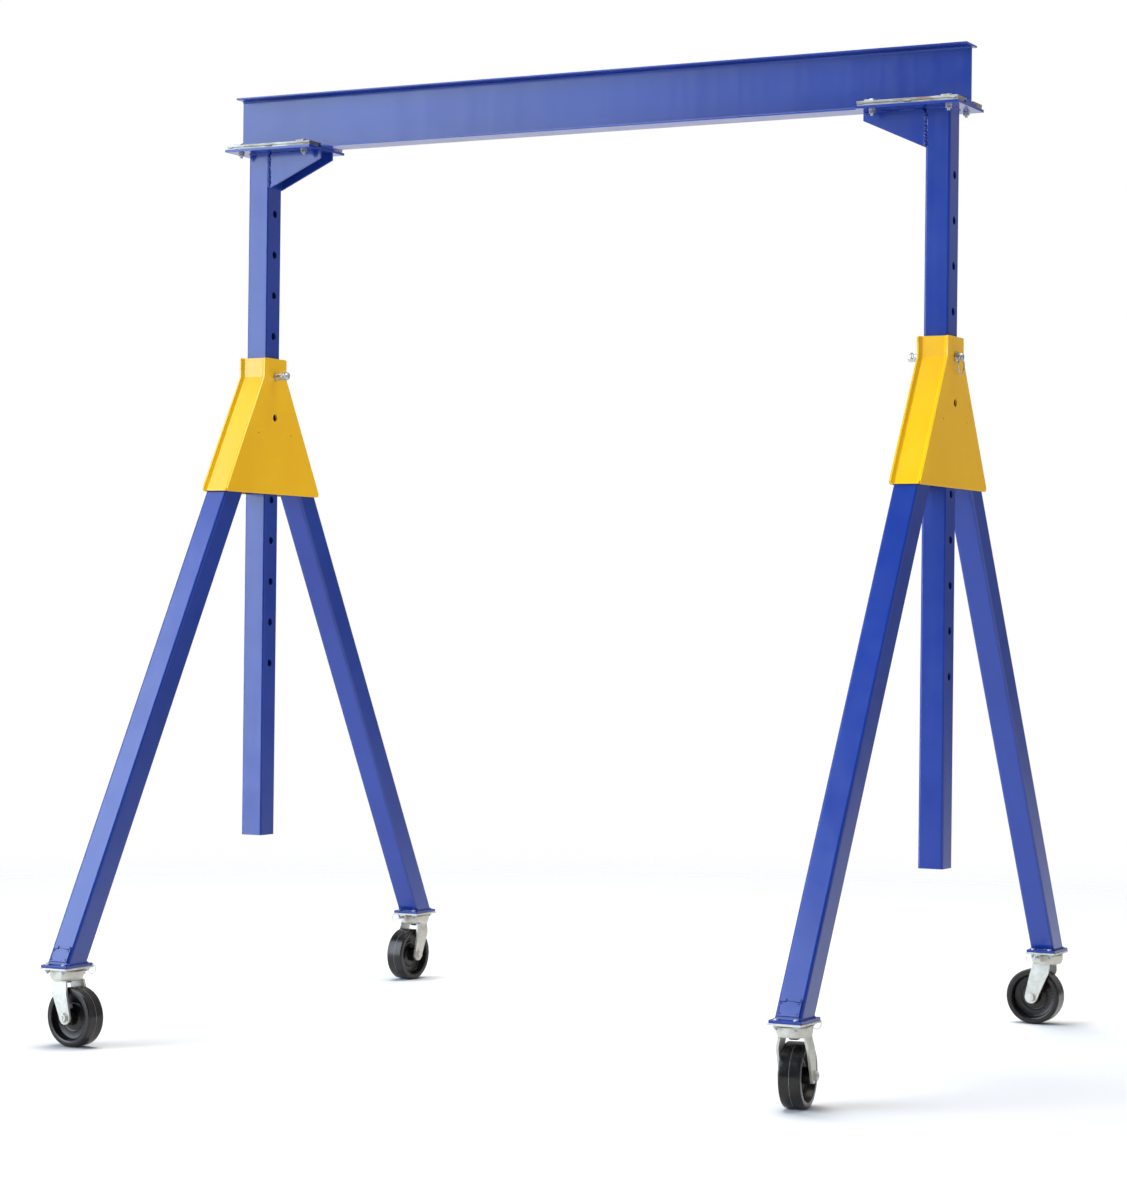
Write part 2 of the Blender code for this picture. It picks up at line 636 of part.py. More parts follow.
def swivel_lock(name, place, inward):
    """The spring plunger that locks the swivel, and the pull ring that stands out from its upright eye."""
    tip = CROWN_RADIUS + PLUNGER_TIP_GAP
    knob_radius, knob_length = PLUNGER_KNOB
    knob = LUG_INNER_Y + LUG[1] + PLUNGER_TIP_GAP
    end = knob + knob_length
    middle = (place[0] + inward * LOCK_SHIFT, place[1], PLUNGER_Z)
    shank = rods(PLUNGER_RADIUS, end - tip, [(0, inward * (tip + end) / 2, 0)], "Y", SMALL_SIDES)
    plunger = add_object(f"{name}_lock_plunger", shank, ZINC, middle)
    head = rods(knob_radius, knob_length, [(0, inward * (knob + end) / 2, 0)], "Y", SMALL_SIDES + 2)
    eye_y = inward * (end - LOCK_EYE_INSET)
    eye = rods(LOCK_EYE_RADIUS, 0.03, [(0, eye_y, 0)], sides=8)
    combine(plunger, add_helper(f"{name}_lock_knob", head, middle), "UNION")
    combine(plunger, add_helper(f"{name}_lock_eye", eye, middle), "DIFFERENCE")
    radius, wire_radius = LOCK_RING
    ring_place = (middle[0] + inward * radius, place[1] + eye_y, PLUNGER_Z)
    hoop = add_object(f"{name}_lock_ring", ring_mesh(radius, wire_radius), ZINC, ring_place, Y_PLANE)
    hoop.data.polygons.foreach_set("use_smooth", [True] * len(hoop.data.polygons))


# ---- Height pins -----------------------------------------------------------------------------


def height_pin(side, sign):
    """A pin through shroud and post: collar and drilled neck outside, hairpin hole near the tip."""
    name = f"{side}_height_pin"
    collar_radius, collar_length = PIN_COLLAR
    neck_radius, neck_length = PIN_NECK
    collar = SHROUD_HALF + 2 * GAP
    neck = collar + collar_length
    end = neck + neck_length
    tip = -SHROUD_HALF - PIN_BEYOND
    taper = 0.004
    outline = [
        (0, end),
        (neck_radius - 0.002, end),
        (neck_radius, end - 0.002),
        (neck_radius, neck),
        (collar_radius, neck),
        (collar_radius, collar),
        (HEIGHT_PIN_RADIUS, collar),
        (HEIGHT_PIN_RADIUS, tip + taper),
        (HEIGHT_PIN_RADIUS * 0.6, tip),
        (0, tip),
    ]
    middle = (sign * POST_SPACING / 2, 0, PIN_Z)
    part = add_object(name, profile(outline, closed=False), ZINC, middle, (0, sign * math.pi / 2, 0))
    turn_about_z(part, ROUND_SIDES)
    eye = rods(PIN_RING_EYE_RADIUS, 0.06, [(sign * pin_eye(), 0, 0)], "Y", SMALL_SIDES)
    hole = rods(HAIRPIN_HOLE_RADIUS, 0.06, [(-sign * (SHROUD_HALF + HAIRPIN_HOLE), 0, 0)], "Y", 8)
    combine(part, add_helper(f"{name}_eye", eye, middle), "DIFFERENCE")
    combine(part, add_helper(f"{name}_hairpin_hole", hole, middle), "DIFFERENCE")


def pin_eye():
    """Post's middle to the eye that the pull ring hangs in."""
    return SHROUD_HALF + 2 * GAP + PIN_COLLAR[1] + PIN_NECK[1] * 0.60


def pin_ring(side, sign):
    radius, wire_radius = PIN_RING
    place = (sign * (POST_SPACING / 2 + pin_eye()), 0, PIN_Z - radius)
    hoop = add_object(f"{side}_pin_ring", ring_mesh(radius, wire_radius), ZINC, place, (0, math.pi / 2, 0))
    hoop.data.polygons.foreach_set("use_smooth", [True] * len(hoop.data.polygons))


def hairpin(side, sign, pull):
    """A spring clip: one leg through the pin, a coil at the end that is pulled, and a bowed leg."""
    over = HEIGHT_PIN_RADIUS + HAIRPIN_WIRE + 0.0012
    coil = over / 2
    bow = 0.0040
    straight = [(0, -0.0300 * pull, 0), (0, 0.0200 * pull, 0)]
    turn_steps = 9
    turn = []
    for step in range(1, turn_steps + 1):
        angle = -math.pi / 2 + math.pi * step / turn_steps
        turn.append((0, (0.0200 + coil * math.cos(angle)) * pull, coil + coil * math.sin(angle)))
    bow_steps = 8
    bowed = []
    for step in range(1, bow_steps + 1):
        share = step / bow_steps
        along = 0.0200 - 0.0360 * share
        bowed.append((0, along * pull, over + bow * math.sin(math.pi * share)))
    flare = [(0, -0.0230 * pull, over + 0.0035)]
    place = (sign * (POST_SPACING / 2 - SHROUD_HALF - HAIRPIN_HOLE), 0, PIN_Z)
    add_object(f"{side}_hairpin", wire(straight + turn + bowed + flare, HAIRPIN_WIRE, 1), ZINC, place)


# ---- The crane -------------------------------------------------------------------------------

for old in list(bpy.data.objects):
    bpy.data.objects.remove(old)
PARTS = fresh_collection("portable_gantry_crane")
CUTTERS = fresh_collection("cutters")
CUTTERS.hide_render = True

beam()
for side, sign in SIDES.items():
    middle_x = sign * POST_SPACING / 2
    post(side, sign)
    top_plate(side, sign)
    plate_x = SHROUD_HALF - SHROUD_PLATE / 2
    shroud_plate(side, "outer", middle_x + sign * plate_x)
    shroud_plate(side, "inner", middle_x - sign * plate_x)
    for row, out in ROWS.items():
        gusset(side, sign, row, out)
        clamp(side, sign, row, out)
        shroud_strip(side, middle_x, row, out)
        leg(side, middle_x, row, out)
        corner_name = f"{side}_{row}"
        corner = (middle_x, out * FOOT_Y, 0)
        base_plate(corner_name, corner)
        caster_plate(corner_name, corner, -out)
        swivel_axis = bpy.data.objects.new(f"{corner_name}_swivel_axis", None)
        swivel_axis.location = corner
        swivel_axis.rotation_euler = (0, 0, math.radians(CASTER_YAW[side, row]))
        PARTS.objects.link(swivel_axis)
        fork(corner_name, swivel_axis)
        axle_bolt(corner_name, swivel_axis)
        wheel(corner_name, swivel_axis)
        swivel_lock(corner_name, corner, -out)
    height_pin(side, sign)
    pin_ring(side, sign)
    hairpin(side, sign, -sign)
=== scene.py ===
"""Looks of the portable gantry crane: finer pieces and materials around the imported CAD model.

Every length is in metres, in the CAD frame: X along the beam, Y across it, Z up from the floor.
"""

import json
import math

import bmesh
import bpy
from mathutils import Matrix, Vector, noise


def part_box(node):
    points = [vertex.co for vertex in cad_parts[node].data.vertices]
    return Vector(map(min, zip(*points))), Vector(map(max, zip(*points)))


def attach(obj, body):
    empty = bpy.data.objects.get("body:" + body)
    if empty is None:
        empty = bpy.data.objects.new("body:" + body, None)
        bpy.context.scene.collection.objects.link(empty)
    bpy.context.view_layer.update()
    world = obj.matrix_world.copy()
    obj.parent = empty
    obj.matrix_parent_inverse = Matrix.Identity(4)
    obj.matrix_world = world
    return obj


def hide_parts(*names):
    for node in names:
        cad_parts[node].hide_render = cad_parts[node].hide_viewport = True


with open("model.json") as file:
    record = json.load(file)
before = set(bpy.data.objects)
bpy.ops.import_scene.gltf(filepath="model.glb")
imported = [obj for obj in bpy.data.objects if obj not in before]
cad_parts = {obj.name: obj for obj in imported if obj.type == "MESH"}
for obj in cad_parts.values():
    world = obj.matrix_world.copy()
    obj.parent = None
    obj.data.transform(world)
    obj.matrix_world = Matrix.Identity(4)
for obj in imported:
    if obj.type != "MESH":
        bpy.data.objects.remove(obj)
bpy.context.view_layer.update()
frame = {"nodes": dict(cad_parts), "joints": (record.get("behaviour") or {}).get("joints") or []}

SIDES = {"left": -1, "right": 1}
ROWS = {"front": -1, "rear": 1}

# ---- Camera ----------------------------------------------

CAMERA_PLACE = (5.0381, -9.8580, 1.4779)
CAMERA_AZIMUTH = math.radians(27.375)
CAMERA_PITCH = math.radians(0.300)
CAMERA_ROLL = math.radians(0.658)
CAMERA_LENS = 93.727  # millimetres, as the sensor
CAMERA_SENSOR = 36.0

camera_data = bpy.data.cameras.new("camera")
camera_data.sensor_width = CAMERA_SENSOR
camera_data.lens = CAMERA_LENS
camera_data.clip_end = 200
camera = bpy.data.objects.new("camera", camera_data)
camera.matrix_world = (
    Matrix.Translation(CAMERA_PLACE)
    @ Matrix.Rotation(CAMERA_AZIMUTH, 4, "Z")
    @ Matrix.Rotation(math.pi / 2 + CAMERA_PITCH, 4, "X")
    @ Matrix.Rotation(CAMERA_ROLL, 4, "Z")
)
bpy.context.scene.collection.objects.link(camera)
bpy.context.scene.camera = camera
bpy.context.scene.view_settings.view_transform = "Standard"

# ---- Node helpers ----------------------------------------


def plug(tree, socket, value):
    """Give an input a number, a colour or another node's output."""
    if isinstance(value, bpy.types.NodeSocket):
        tree.links.new(value, socket)
    else:
        socket.default_value = value


def node(tree, kind, inputs=None, **settings):
    made = tree.nodes.new("ShaderNode" + kind)
    for key, value in settings.items():
        setattr(made, key, value)
    for key, value in (inputs or {}).items():
        plug(tree, made.inputs[key], value)
    return made


def noise_of(tree, place, scale, detail=2.0, roughness=0.5, stretch=None):
    """Noise from 0 to 1. A low number in stretch draws it out along that axis."""
    if stretch:
        place = node(tree, "Mapping", {"Vector": place, "Scale": stretch}).outputs[0]
    inputs = {"Vector": place, "Scale": scale, "Detail": detail, "Roughness": roughness}
    return node(tree, "TexNoise", inputs).outputs[0]


def remap(tree, value, low, high, to_low=0.0, to_high=1.0):
    """A smooth step between the two low values and the two high ones."""
    inputs = {"Value": value, "From Min": low, "From Max": high, "To Min": to_low, "To Max": to_high}
    return node(tree, "MapRange", inputs, interpolation_type="SMOOTHSTEP").outputs[0]


def maths(tree, operation, first, second=0.0):
    return node(tree, "Math", {0: first, 1: second}, operation=operation).outputs[0]


def mixed(tree, factor, first, second):
    """Mix two colours, each a tuple or another node's colour."""
    made = node(tree, "Mix", data_type="RGBA")
    for index, value in ((0, factor), (6, first), (7, second)):
        plug(tree, made.inputs[index], (*value, 1) if isinstance(value, tuple) else value)
    return made.outputs[2]


def bumped(tree, height, distance, strength, before=None):
    """The surface's normal with the height added, over the normal from before."""
    inputs = {"Height": height, "Distance": distance, "Strength": strength}
    if before:
        inputs["Normal"] = before
    return node(tree, "Bump", inputs).outputs[0]


def start_material(name):
    """A new material, its tree, its shader and the place that its patterns are laid out by."""
    material = bpy.data.materials.new(name)
    material.use_nodes = True
    tree = material.node_tree
    place = node(tree, "TexCoord").outputs["Object"]
    return material, tree, tree.nodes["Principled BSDF"], place


def connect(tree, shader, **sockets):
    """Fill the shader's inputs, named with _ for a space."""
    for key, value in sockets.items():
        plug(tree, shader.inputs[key.replace("_", " ")], value)


# ---- Materials -------------------------------------------

STAIN = (0.30, 0.265, 0.20)
SCALE_DARK = (0.19, 0.175, 0.15)
SCALE_LIGHT = (0.40, 0.38, 0.33)
RUST_DARK = (0.20, 0.065, 0.022)
RUST_LIGHT = (0.36, 0.16, 0.07)
DUST = (0.085, 0.080, 0.074)
RESIN_GLOSS = (1.0, 0.92, 0.86, 1)


def paint(name, deep, pale, scuffed, gloss):
    """Sprayed enamel: faint cloudiness, orange peel, long waves in the tube's wall, small scuffs."""
    material, tree, shader, place = start_material(name)
    cloud = remap(tree, noise_of(tree, place, 2.6, 4), 0.32, 0.68)
    colour = mixed(tree, cloud, deep, pale)
    fleck = noise_of(tree, place, 420, 2)
    colour = mixed(tree, remap(tree, fleck, 0.35, 0.75, 0.0, 0.05), colour, scuffed)
    scuff = noise_of(tree, place, 38, 8, 0.62, (1, 1, 0.35))
    scuff = remap(tree, scuff, 0.70, 0.78, 0.0, 0.25)
    colour = mixed(tree, scuff, colour, scuffed)
    smear = noise_of(tree, place, 11, 5, 0.6)
    rough = remap(tree, smear, 0.3, 0.7, gloss - 0.02, gloss + 0.04)
    rough = maths(tree, "ADD", rough, maths(tree, "MULTIPLY", scuff, 0.4))
    waves = bumped(tree, noise_of(tree, place, 1, 2, 0.5, (11, 11, 0.8)), 0.0016, 0.40)
    peel = bumped(tree, noise_of(tree, place, 520, 2), 0.00010, 0.40, waves)
    connect(tree, shader, Base_Color=colour, Roughness=rough, Normal=peel, IOR=1.5)
    return material


def zinc_plate(name, bright, dull, low, high, metal, stained):
    """Zinc plating over stamped steel: mottled, with fine drawn streaks."""
    material, tree, shader, place = start_material(name)
    mottle = remap(tree, noise_of(tree, place, 55, 5, 0.6), 0.35, 0.65)
    colour = mixed(tree, mottle, dull, bright)
    stain = remap(tree, noise_of(tree, place, 21, 6, 0.6), 0.58, 0.76, 0.0, stained)
    colour = mixed(tree, stain, colour, STAIN)
    rough = remap(tree, noise_of(tree, place, 90, 3), 0.3, 0.7, low, high)
    streak = noise_of(tree, place, 160, 3, 0.5, (1, 1, 0.12))
    relief = bumped(tree, streak, 0.00025, 0.35)
    relief = bumped(tree, noise_of(tree, place, 900, 2), 0.00008, 0.5, relief)
    connect(tree, shader, Base_Color=colour, Roughness=rough, Metallic=metal, Normal=relief)
    return material


def bare_steel(name):
    """Hot-rolled bar, sawn and left bare: grey scale with long streaks of rust."""
    material, tree, shader, place = start_material(name)
    scale = remap(tree, noise_of(tree, place, 30, 6, 0.6, (0.35, 1, 1)), 0.35, 0.65)
    colour = mixed(tree, scale, SCALE_DARK, SCALE_LIGHT)
    rust = noise_of(tree, place, 24, 7, 0.65, (0.30, 1, 2.2))
    rust = remap(tree, rust, 0.58, 0.68, 0.0, 0.85)
    speck = mixed(tree, noise_of(tree, place, 190, 3), RUST_DARK, RUST_LIGHT)
    colour = mixed(tree, rust, colour, speck)
    metal = maths(tree, "SUBTRACT", 0.70, maths(tree, "MULTIPLY", rust, 0.8))
    rough = maths(tree, "ADD", 0.40, maths(tree, "MULTIPLY", rust, 0.35))
    saw = noise_of(tree, place, 240, 3, 0.5, (1, 0.15, 0.15))
    relief = bumped(tree, saw, 0.0003, 0.5)
    relief = bumped(tree, rust, 0.0004, 0.6, relief)
    connect(tree, shader, Base_Color=colour, Roughness=rough, Metallic=metal, Normal=relief)
    return material


def moulded_resin(name, deep, pale, dusty):
    """Moulded phenolic: black and glossy, with a little dust and fine moulding texture."""
    material, tree, shader, place = start_material(name)
    dust = remap(tree, noise_of(tree, place, 46, 7, 0.65), 0.56, 0.80, 0.0, dusty)
    fibre = remap(tree, noise_of(tree, place, 300, 3), 0.4, 0.7)
    colour = mixed(tree, fibre, deep, pale)
    colour = mixed(tree, dust, colour, DUST)
    rough = remap(tree, noise_of(tree, place, 30, 4), 0.3, 0.7, 0.20, 0.30)
    rough = maths(tree, "ADD", rough, maths(tree, "MULTIPLY", dust, 0.5))
    relief = bumped(tree, noise_of(tree, place, 650, 3), 0.00006, 0.35)
    connect(tree, shader, Base_Color=colour, Roughness=rough, Normal=relief)
    connect(tree, shader, IOR=1.45, Specular_Tint=RESIN_GLOSS)
    return material


BLUE = paint("blue_enamel", (0.0090, 0.036, 0.262), (0.0120, 0.043, 0.290), (0.030, 0.070, 0.34), 0.17)
YELLOW = paint("yellow_enamel", (0.900, 0.480, 0.0045), (0.940, 0.520, 0.0065), (0.93, 0.58, 0.04), 0.18)
ZINC = zinc_plate("zinc_plate", (0.66, 0.64, 0.570), (0.57, 0.55, 0.480), 0.44, 0.60, 0.45, 0.35)
BRIGHT = zinc_plate("bright_zinc", (0.60, 0.62, 0.62), (0.38, 0.41, 0.44), 0.24, 0.40, 0.85, 0.0)
STEEL = bare_steel("bare_bar")
DARK = zinc_plate("oiled_steel", (0.10, 0.095, 0.085), (0.045, 0.042, 0.038), 0.30, 0.46, 0.60, 0.3)
RESIN = moulded_resin("black_phenolic", (0.0066, 0.0066, 0.0070), (0.0120, 0.0119, 0.0125), 0.08)
# The raised flash on the tread's parting line is coloured pale grey: a painted highlight along the ridge.
FLASH = moulded_resin("flash_painted_highlight", (0.12, 0.116, 0.112), (0.23, 0.225, 0.22), 0.25)

# ---- Shape helpers ---------------------------------------

CORNER_STEPS = 6
UP = Vector((0, 0, 1))
WELD_STEP = 0.0014


def skin(loops, cyclic=False):
    """Faces between loops of equal length; the ends are capped unless the loops close on themselves."""
    shape = bmesh.new()
    rows = [[shape.verts.new(point) for point in loop] for loop in loops]
    pairs = list(zip(rows, rows[1:]))
    if cyclic:
        pairs.append((rows[-1], rows[0]))
    count = len(rows[0])
    for first, second in pairs:
        for here in range(count):
            after = (here + 1) % count
            shape.faces.new((first[here], first[after], second[after], second[here]))
    if not cyclic:
        shape.faces.new(rows[0][::-1])
        shape.faces.new(rows[-1])
    return shape


def arc(centre, radius, first, last, steps):
    """Points on an arc, from the first angle to the last, in degrees."""
    angles = [math.radians(first + (last - first) * step / steps) for step in range(steps + 1)]
    return [(centre[0] + radius * math.cos(a), centre[1] + radius * math.sin(a)) for a in angles]


def lathe(outline, steps):
    """Turn (radius, height) points about Z. An outline that starts and ends on the axis is closed there."""
    shape = bmesh.new()
    on_axis = outline[0][0] == 0
    rows = []
    for radius, height in outline:
        if radius == 0:
            rows.append([shape.verts.new((0, 0, height))] * steps)
            continue
        ring = arc((0, 0), radius, 0, 360, steps)[:-1]
        rows.append([shape.verts.new((x, y, height)) for x, y in ring])
    pairs = list(zip(rows, rows[1:]))
    if not on_axis:
        pairs.append((rows[-1], rows[0]))
    for first, second in pairs:
        for here in range(steps):
            after = (here + 1) % steps
            corners = [first[here], first[after], second[after], second[here]]
            corners = [corner for index, corner in enumerate(corners) if corner not in corners[:index]]
            shape.faces.new(corners)
    return shape


def rod(radius, low, high, steps):
    return lathe([(0, low), (radius, low), (radius, high), (0, high)], steps)


def moved(shape, matrix):
    bmesh.ops.transform(shape, matrix=matrix, verts=shape.verts)
    return shape


def at(x, y, z):
    return Matrix.Translation((x, y, z))


def merged(shapes):
    """One bmesh with all the shapes in it."""
    whole = bmesh.new()
    for shape in shapes:
        mesh = bpy.data.meshes.new("part")
        shape.to_mesh(mesh)
        shape.free()
        whole.from_mesh(mesh)
        bpy.data.meshes.remove(mesh)
    return whole


def rectangle(x_size, y_size, corner):
    """A rectangle's outline about the origin, with an arc at each corner."""
    x, y = x_size / 2 - corner, y_size / 2 - corner
    outline = []
    for index, centre in enumerate([(x, -y), (x, y), (-x, y), (-x, -y)]):
        outline += arc(centre, corner, 90 * index - 90, 90 * index, CORNER_STEPS)
    return outline


def plate(x_size, y_size, low, high, corner):
    """A level plate with rounded corners."""
    outline = rectangle(x_size, y_size, corner)
    return skin([[(x, y, z) for x, y in outline] for z in (low, high)])


def block(low, high):
    """A box from its lowest to its highest corner."""
    corners = [(low[0], low[1]), (high[0], low[1]), (high[0], high[1]), (low[0], high[1])]
    return skin([[(x, y, z) for x, y in corners] for z in (low[2], high[2])])


def hexagon(across, low, high, both=False, turn=0.0):
    """A nut or a bolt's head: a hexagon whose corners are turned off at the top, or at both ends."""
    flat = across / 2
    face = flat * 0.96  # radius of the flat end
    cut = math.tan(math.radians(30))  # slope of the turned-off corners
    steps = 36

    def loop(height, slope=0.0, whole=True):
        points = []
        for step in range(steps):
            angle = 2 * math.pi * step / steps
            reach = flat / math.cos((angle + math.pi / 6) % (math.pi / 3) - math.pi / 6)
            radius = reach if whole else face
            x, y = radius * math.cos(angle + turn), radius * math.sin(angle + turn)
            points.append((x, y, height + (reach - face) * slope))
        return points

    loops = [loop(low, whole=False), loop(low, cut)] if both else [loop(low)]
    return skin(loops + [loop(high, -cut), loop(high, whole=False)])


def threaded(radius, low, high):
    """A threaded end that points down, with a chamfered tip at low."""
    pitch = 0.0015
    depth = 0.0007
    outline = [(0, low), (radius - 0.0012, low)]
    height = low + 0.0010
    while height < high - pitch:
        outline += [(radius, height), (radius - depth, height + pitch / 2)]
        height += pitch
    outline += [(radius, high), (0, high)]
    return lathe(outline, 32)


def washer(outer, inner, low, high):
    """A flat ring with its outer edges broken."""
    edge = 0.0003
    outline = [(inner, low), (outer - edge, low), (outer, low + edge), (outer, high - edge)]
    outline += [(outer - edge, high), (inner, high)]
    return lathe(outline, 40)


def bolt(size, head, washed, nut, end, turns):
    """An upright bolt. Size is its radius, its width across flats and its washer's radius.

    Head, washed and nut are pairs of heights, and end is the height of the threaded end.
    """
    radius, across, washer_radius = size
    parts = [
        hexagon(across, *head, turn=turns[0]),
        washer(washer_radius, radius - 0.0005, *washed),
        hexagon(across, *nut, True, turns[1]),
        threaded(radius, end, washed[1] + 0.0001),
    ]
    return merged(parts)


def sweep(points, radii, sides, cyclic=False):
    """A round section carried along the points without twisting, of one radius or one for each point."""
    places = [Vector(point) for point in points]
    count = len(places)
    loops = []
    across = None
    for index, place in enumerate(places):
        before = places[index - 1] if cyclic or index else place
        after = places[(index + 1) % count] if cyclic or index < count - 1 else place
        along = (after - before).normalized()
        if across is None:
            across = along.orthogonal().normalized()
        across = (across - along * across.dot(along)).normalized()
        other = along.cross(across)
        radius = radii[index] if isinstance(radii, list) else radii
        loop = []
        for side in range(sides):
            angle = 2 * math.pi * side / sides
            loop.append(place + across * radius * math.cos(angle) + other * radius * math.sin(angle))
        loops.append(loop)
    return skin(loops, cyclic)


def hoop(middle, radius, across, steps):
    """The points of an upright circle in the plane of across, from its lowest point round."""
    points = []
    for step in range(steps):
        angle = 2 * math.pi * step / steps
        points.append(middle + across * (radius * math.sin(angle)) - UP * (radius * math.cos(angle)))
    return points


def spaced(points, step, cyclic=False):
    """The polyline's points again, evenly spaced."""
    places = [Vector(point) for point in points]
    if cyclic:
        places.append(places[0])
    lengths = [(b - a).length for a, b in zip(places, places[1:])]
    count = max(4, round(sum(lengths) / step))
    found = []
    leg = 0
    passed = 0.0
    for index in range(count if cyclic else count + 1):
        goal = sum(lengths) * index / count
        while leg < len(lengths) - 1 and goal > passed + lengths[leg]:
            passed += lengths[leg]
            leg += 1
        share = min(1.0, (goal - passed) / lengths[leg]) if lengths[leg] else 0.0
        found.append(places[leg].lerp(places[leg + 1], share))
    return found


def weld(points, radius, seed, cyclic=False, ripple=0.0042, rough=1.0):
    """A weld bead: overlapping ripples of uneven size along the line, with tapered ends."""
    line = spaced(points, WELD_STEP, cyclic)
    radii = []
    uneven = []
    for index, place in enumerate(line):
        wave = abs(math.sin(math.pi * index * WELD_STEP / ripple))
        lump = noise.noise(Vector((index * 0.11, seed * 7.3, 0.5)))
        radii.append(radius * (1 + rough * (0.22 * wave + 0.26 * lump - 0.22)))
        sway = [noise.noise(Vector((index * 0.07, seed, row))) for row in (2.5, 9.5)]
        uneven.append(place + Vector((0, *sway)) * radius * 0.28 * rough)
    if not cyclic:
        for index, share in ((0, 0.25), (1, 0.6), (2, 0.85)):
            radii[index] *= share
            radii[-1 - index] *= share
    return sweep(uneven, radii, 12, cyclic)


def object_of(name, shape):
    """An object of the shape, in the scene."""
    bmesh.ops.recalc_face_normals(shape, faces=shape.faces)
    mesh = bpy.data.meshes.new(name)
    shape.to_mesh(mesh)
    shape.free()
    made = bpy.data.objects.new(name, mesh)
    bpy.context.scene.collection.objects.link(made)
    return made


def shade(mesh, angle):
    """Shade it smooth, except across edges sharper than the angle in degrees."""
    mesh.polygons.foreach_set("use_smooth", [True] * len(mesh.polygons))
    mesh.set_sharp_from_angle(angle=math.radians(angle))


def piece(name, shape, material, body, replaces=(), bevel=0.0, angle=35):
    """Make an object of the shape, give it its material and let it ride on a body."""
    made = object_of(name, shape)
    made.data.materials.append(material)
    shade(made.data, angle)
    if bevel:
        soften(made, bevel, angle)
    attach(made, body)
    if replaces:
        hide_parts(*replaces)
    return made


def soften(part, width, angle):
    """Round the edges that are sharper than the angle, in degrees, and keep the flat faces flat."""
    modifier = part.modifiers.new("edges", "BEVEL")
    modifier.width = width
    modifier.segments = 2
    modifier.limit_method = "ANGLE"
    modifier.angle_limit = math.radians(angle)
    flatter = part.modifiers.new("flat_faces", "WEIGHTED_NORMAL")
    flatter.mode = "FACE_AREA"
    flatter.weight = 60
    flatter.keep_sharp = True


def dress(name, material, bevel, angle=35):
    """Give a CAD node its material, and round its edges a little as paint does."""
    part = frame["nodes"][name]
    part.data.materials.clear()
    part.data.materials.append(material)
    if "custom_normal" in part.data.attributes:
        part.data.attributes.remove(part.data.attributes["custom_normal"])
    part.data.polygons.foreach_set("use_smooth", [True] * len(part.data.polygons))
    joined = part.modifiers.new("joined", "WELD")
    joined.merge_threshold = 0.00002
    flat = part.modifiers.new("flat", "DECIMATE")
    flat.decimate_type = "DISSOLVE"
    flat.angle_limit = math.radians(0.6)
    soften(part, bevel, angle)


# ---- Painted steelwork -----------------------------------

dress("beam", BLUE, 0.0005)
for side in SIDES:
    dress(f"{side}_post", BLUE, 0.0007)
    dress(f"{side}_top_plate", BLUE, 0.0009)
    for row in ROWS:
        dress(f"{side}_{row}_gusset", BLUE, 0.0009)
        dress(f"{side}_{row}_leg", BLUE, 0.0007)
        dress(f"{side}_{row}_base_plate", BLUE, 0.0010)
        dress(f"{side}_{row}_shroud_strip", YELLOW, 0.0008, 20)
    for face in ("inner", "outer"):
        dress(f"{side}_{face}_shroud_plate", YELLOW, 0.0009)

POST_CORNER = 0.0080
POST_BEAD = 0.0032
LEG_ANGLE = math.radians(29.5)  # from vertical
LEG_DEPTH = 0.0970  # square to the leg
LEG_CORNER = 0.0090
LEG_BEAD = 0.0040
GUSSET_COPE = 0.0130
GUSSET_THICKNESS = 0.0079
GUSSET_BEAD = 0.0080
GUSSET_RIPPLE = 0.0110
GUSSET_INSIDE_BEAD = 0.0030
STITCH_BEAD = 0.0027
STITCH_LENGTH = 0.052
STITCH_STARTS = (0.16, 0.58)  # as shares of the gusset's length
NAME_PLATE = (0.0720, 0.0540)
NAME_PLATE_LIFT = 0.0020  # leg's face to the plate's own face
NAME_PLATE_RIM = (0.0036, 0.0038)  # width, and height over the leg
NAME_PLATE_RISE = 0.0380  # leg's foot to the plate's middle
CLIP = (0.0180, 0.0100, 0.0060)  # width, depth, and height over the leg
CLIP_OVERHANG = 0.0035  # past the plate's edge
RIVET = [(0, 0.0015), (0.0030, 0.0015), (0.0026, 0.0032), (0.0013, 0.0040), (0, 0.0042)]
SEAM = (0.0105, 0.0086)  # along the plate and away from the strip
TINY = 0.0001  # nearer than this, two measures are the same


def seed_of(side, row):
    """A number of its own for each corner."""
    return (SIDES[side] + 2) * 3 + ROWS[row]


def leg_weld(side, row):
    """The fillet weld round a leg's foot."""
    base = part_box(f"{side}_{row}_base_plate")
    low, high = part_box(f"{side}_{row}_leg")
    depth = LEG_DEPTH / math.cos(LEG_ANGLE)
    centre_x = (low.x + high.x) / 2
    centre_y = (base[0].y + base[1].y) / 2
    outline = rectangle(high.x - low.x + 0.002, depth + 0.002, LEG_CORNER)
    line = [(centre_x + x, centre_y + y, base[1].z + 0.0012) for x, y in outline]
    bead = weld(line, LEG_BEAD, seed_of(side, row), True)
    piece(f"{side}_{row}_leg_weld", bead, BLUE, f"{side}_leg_frame", angle=75)


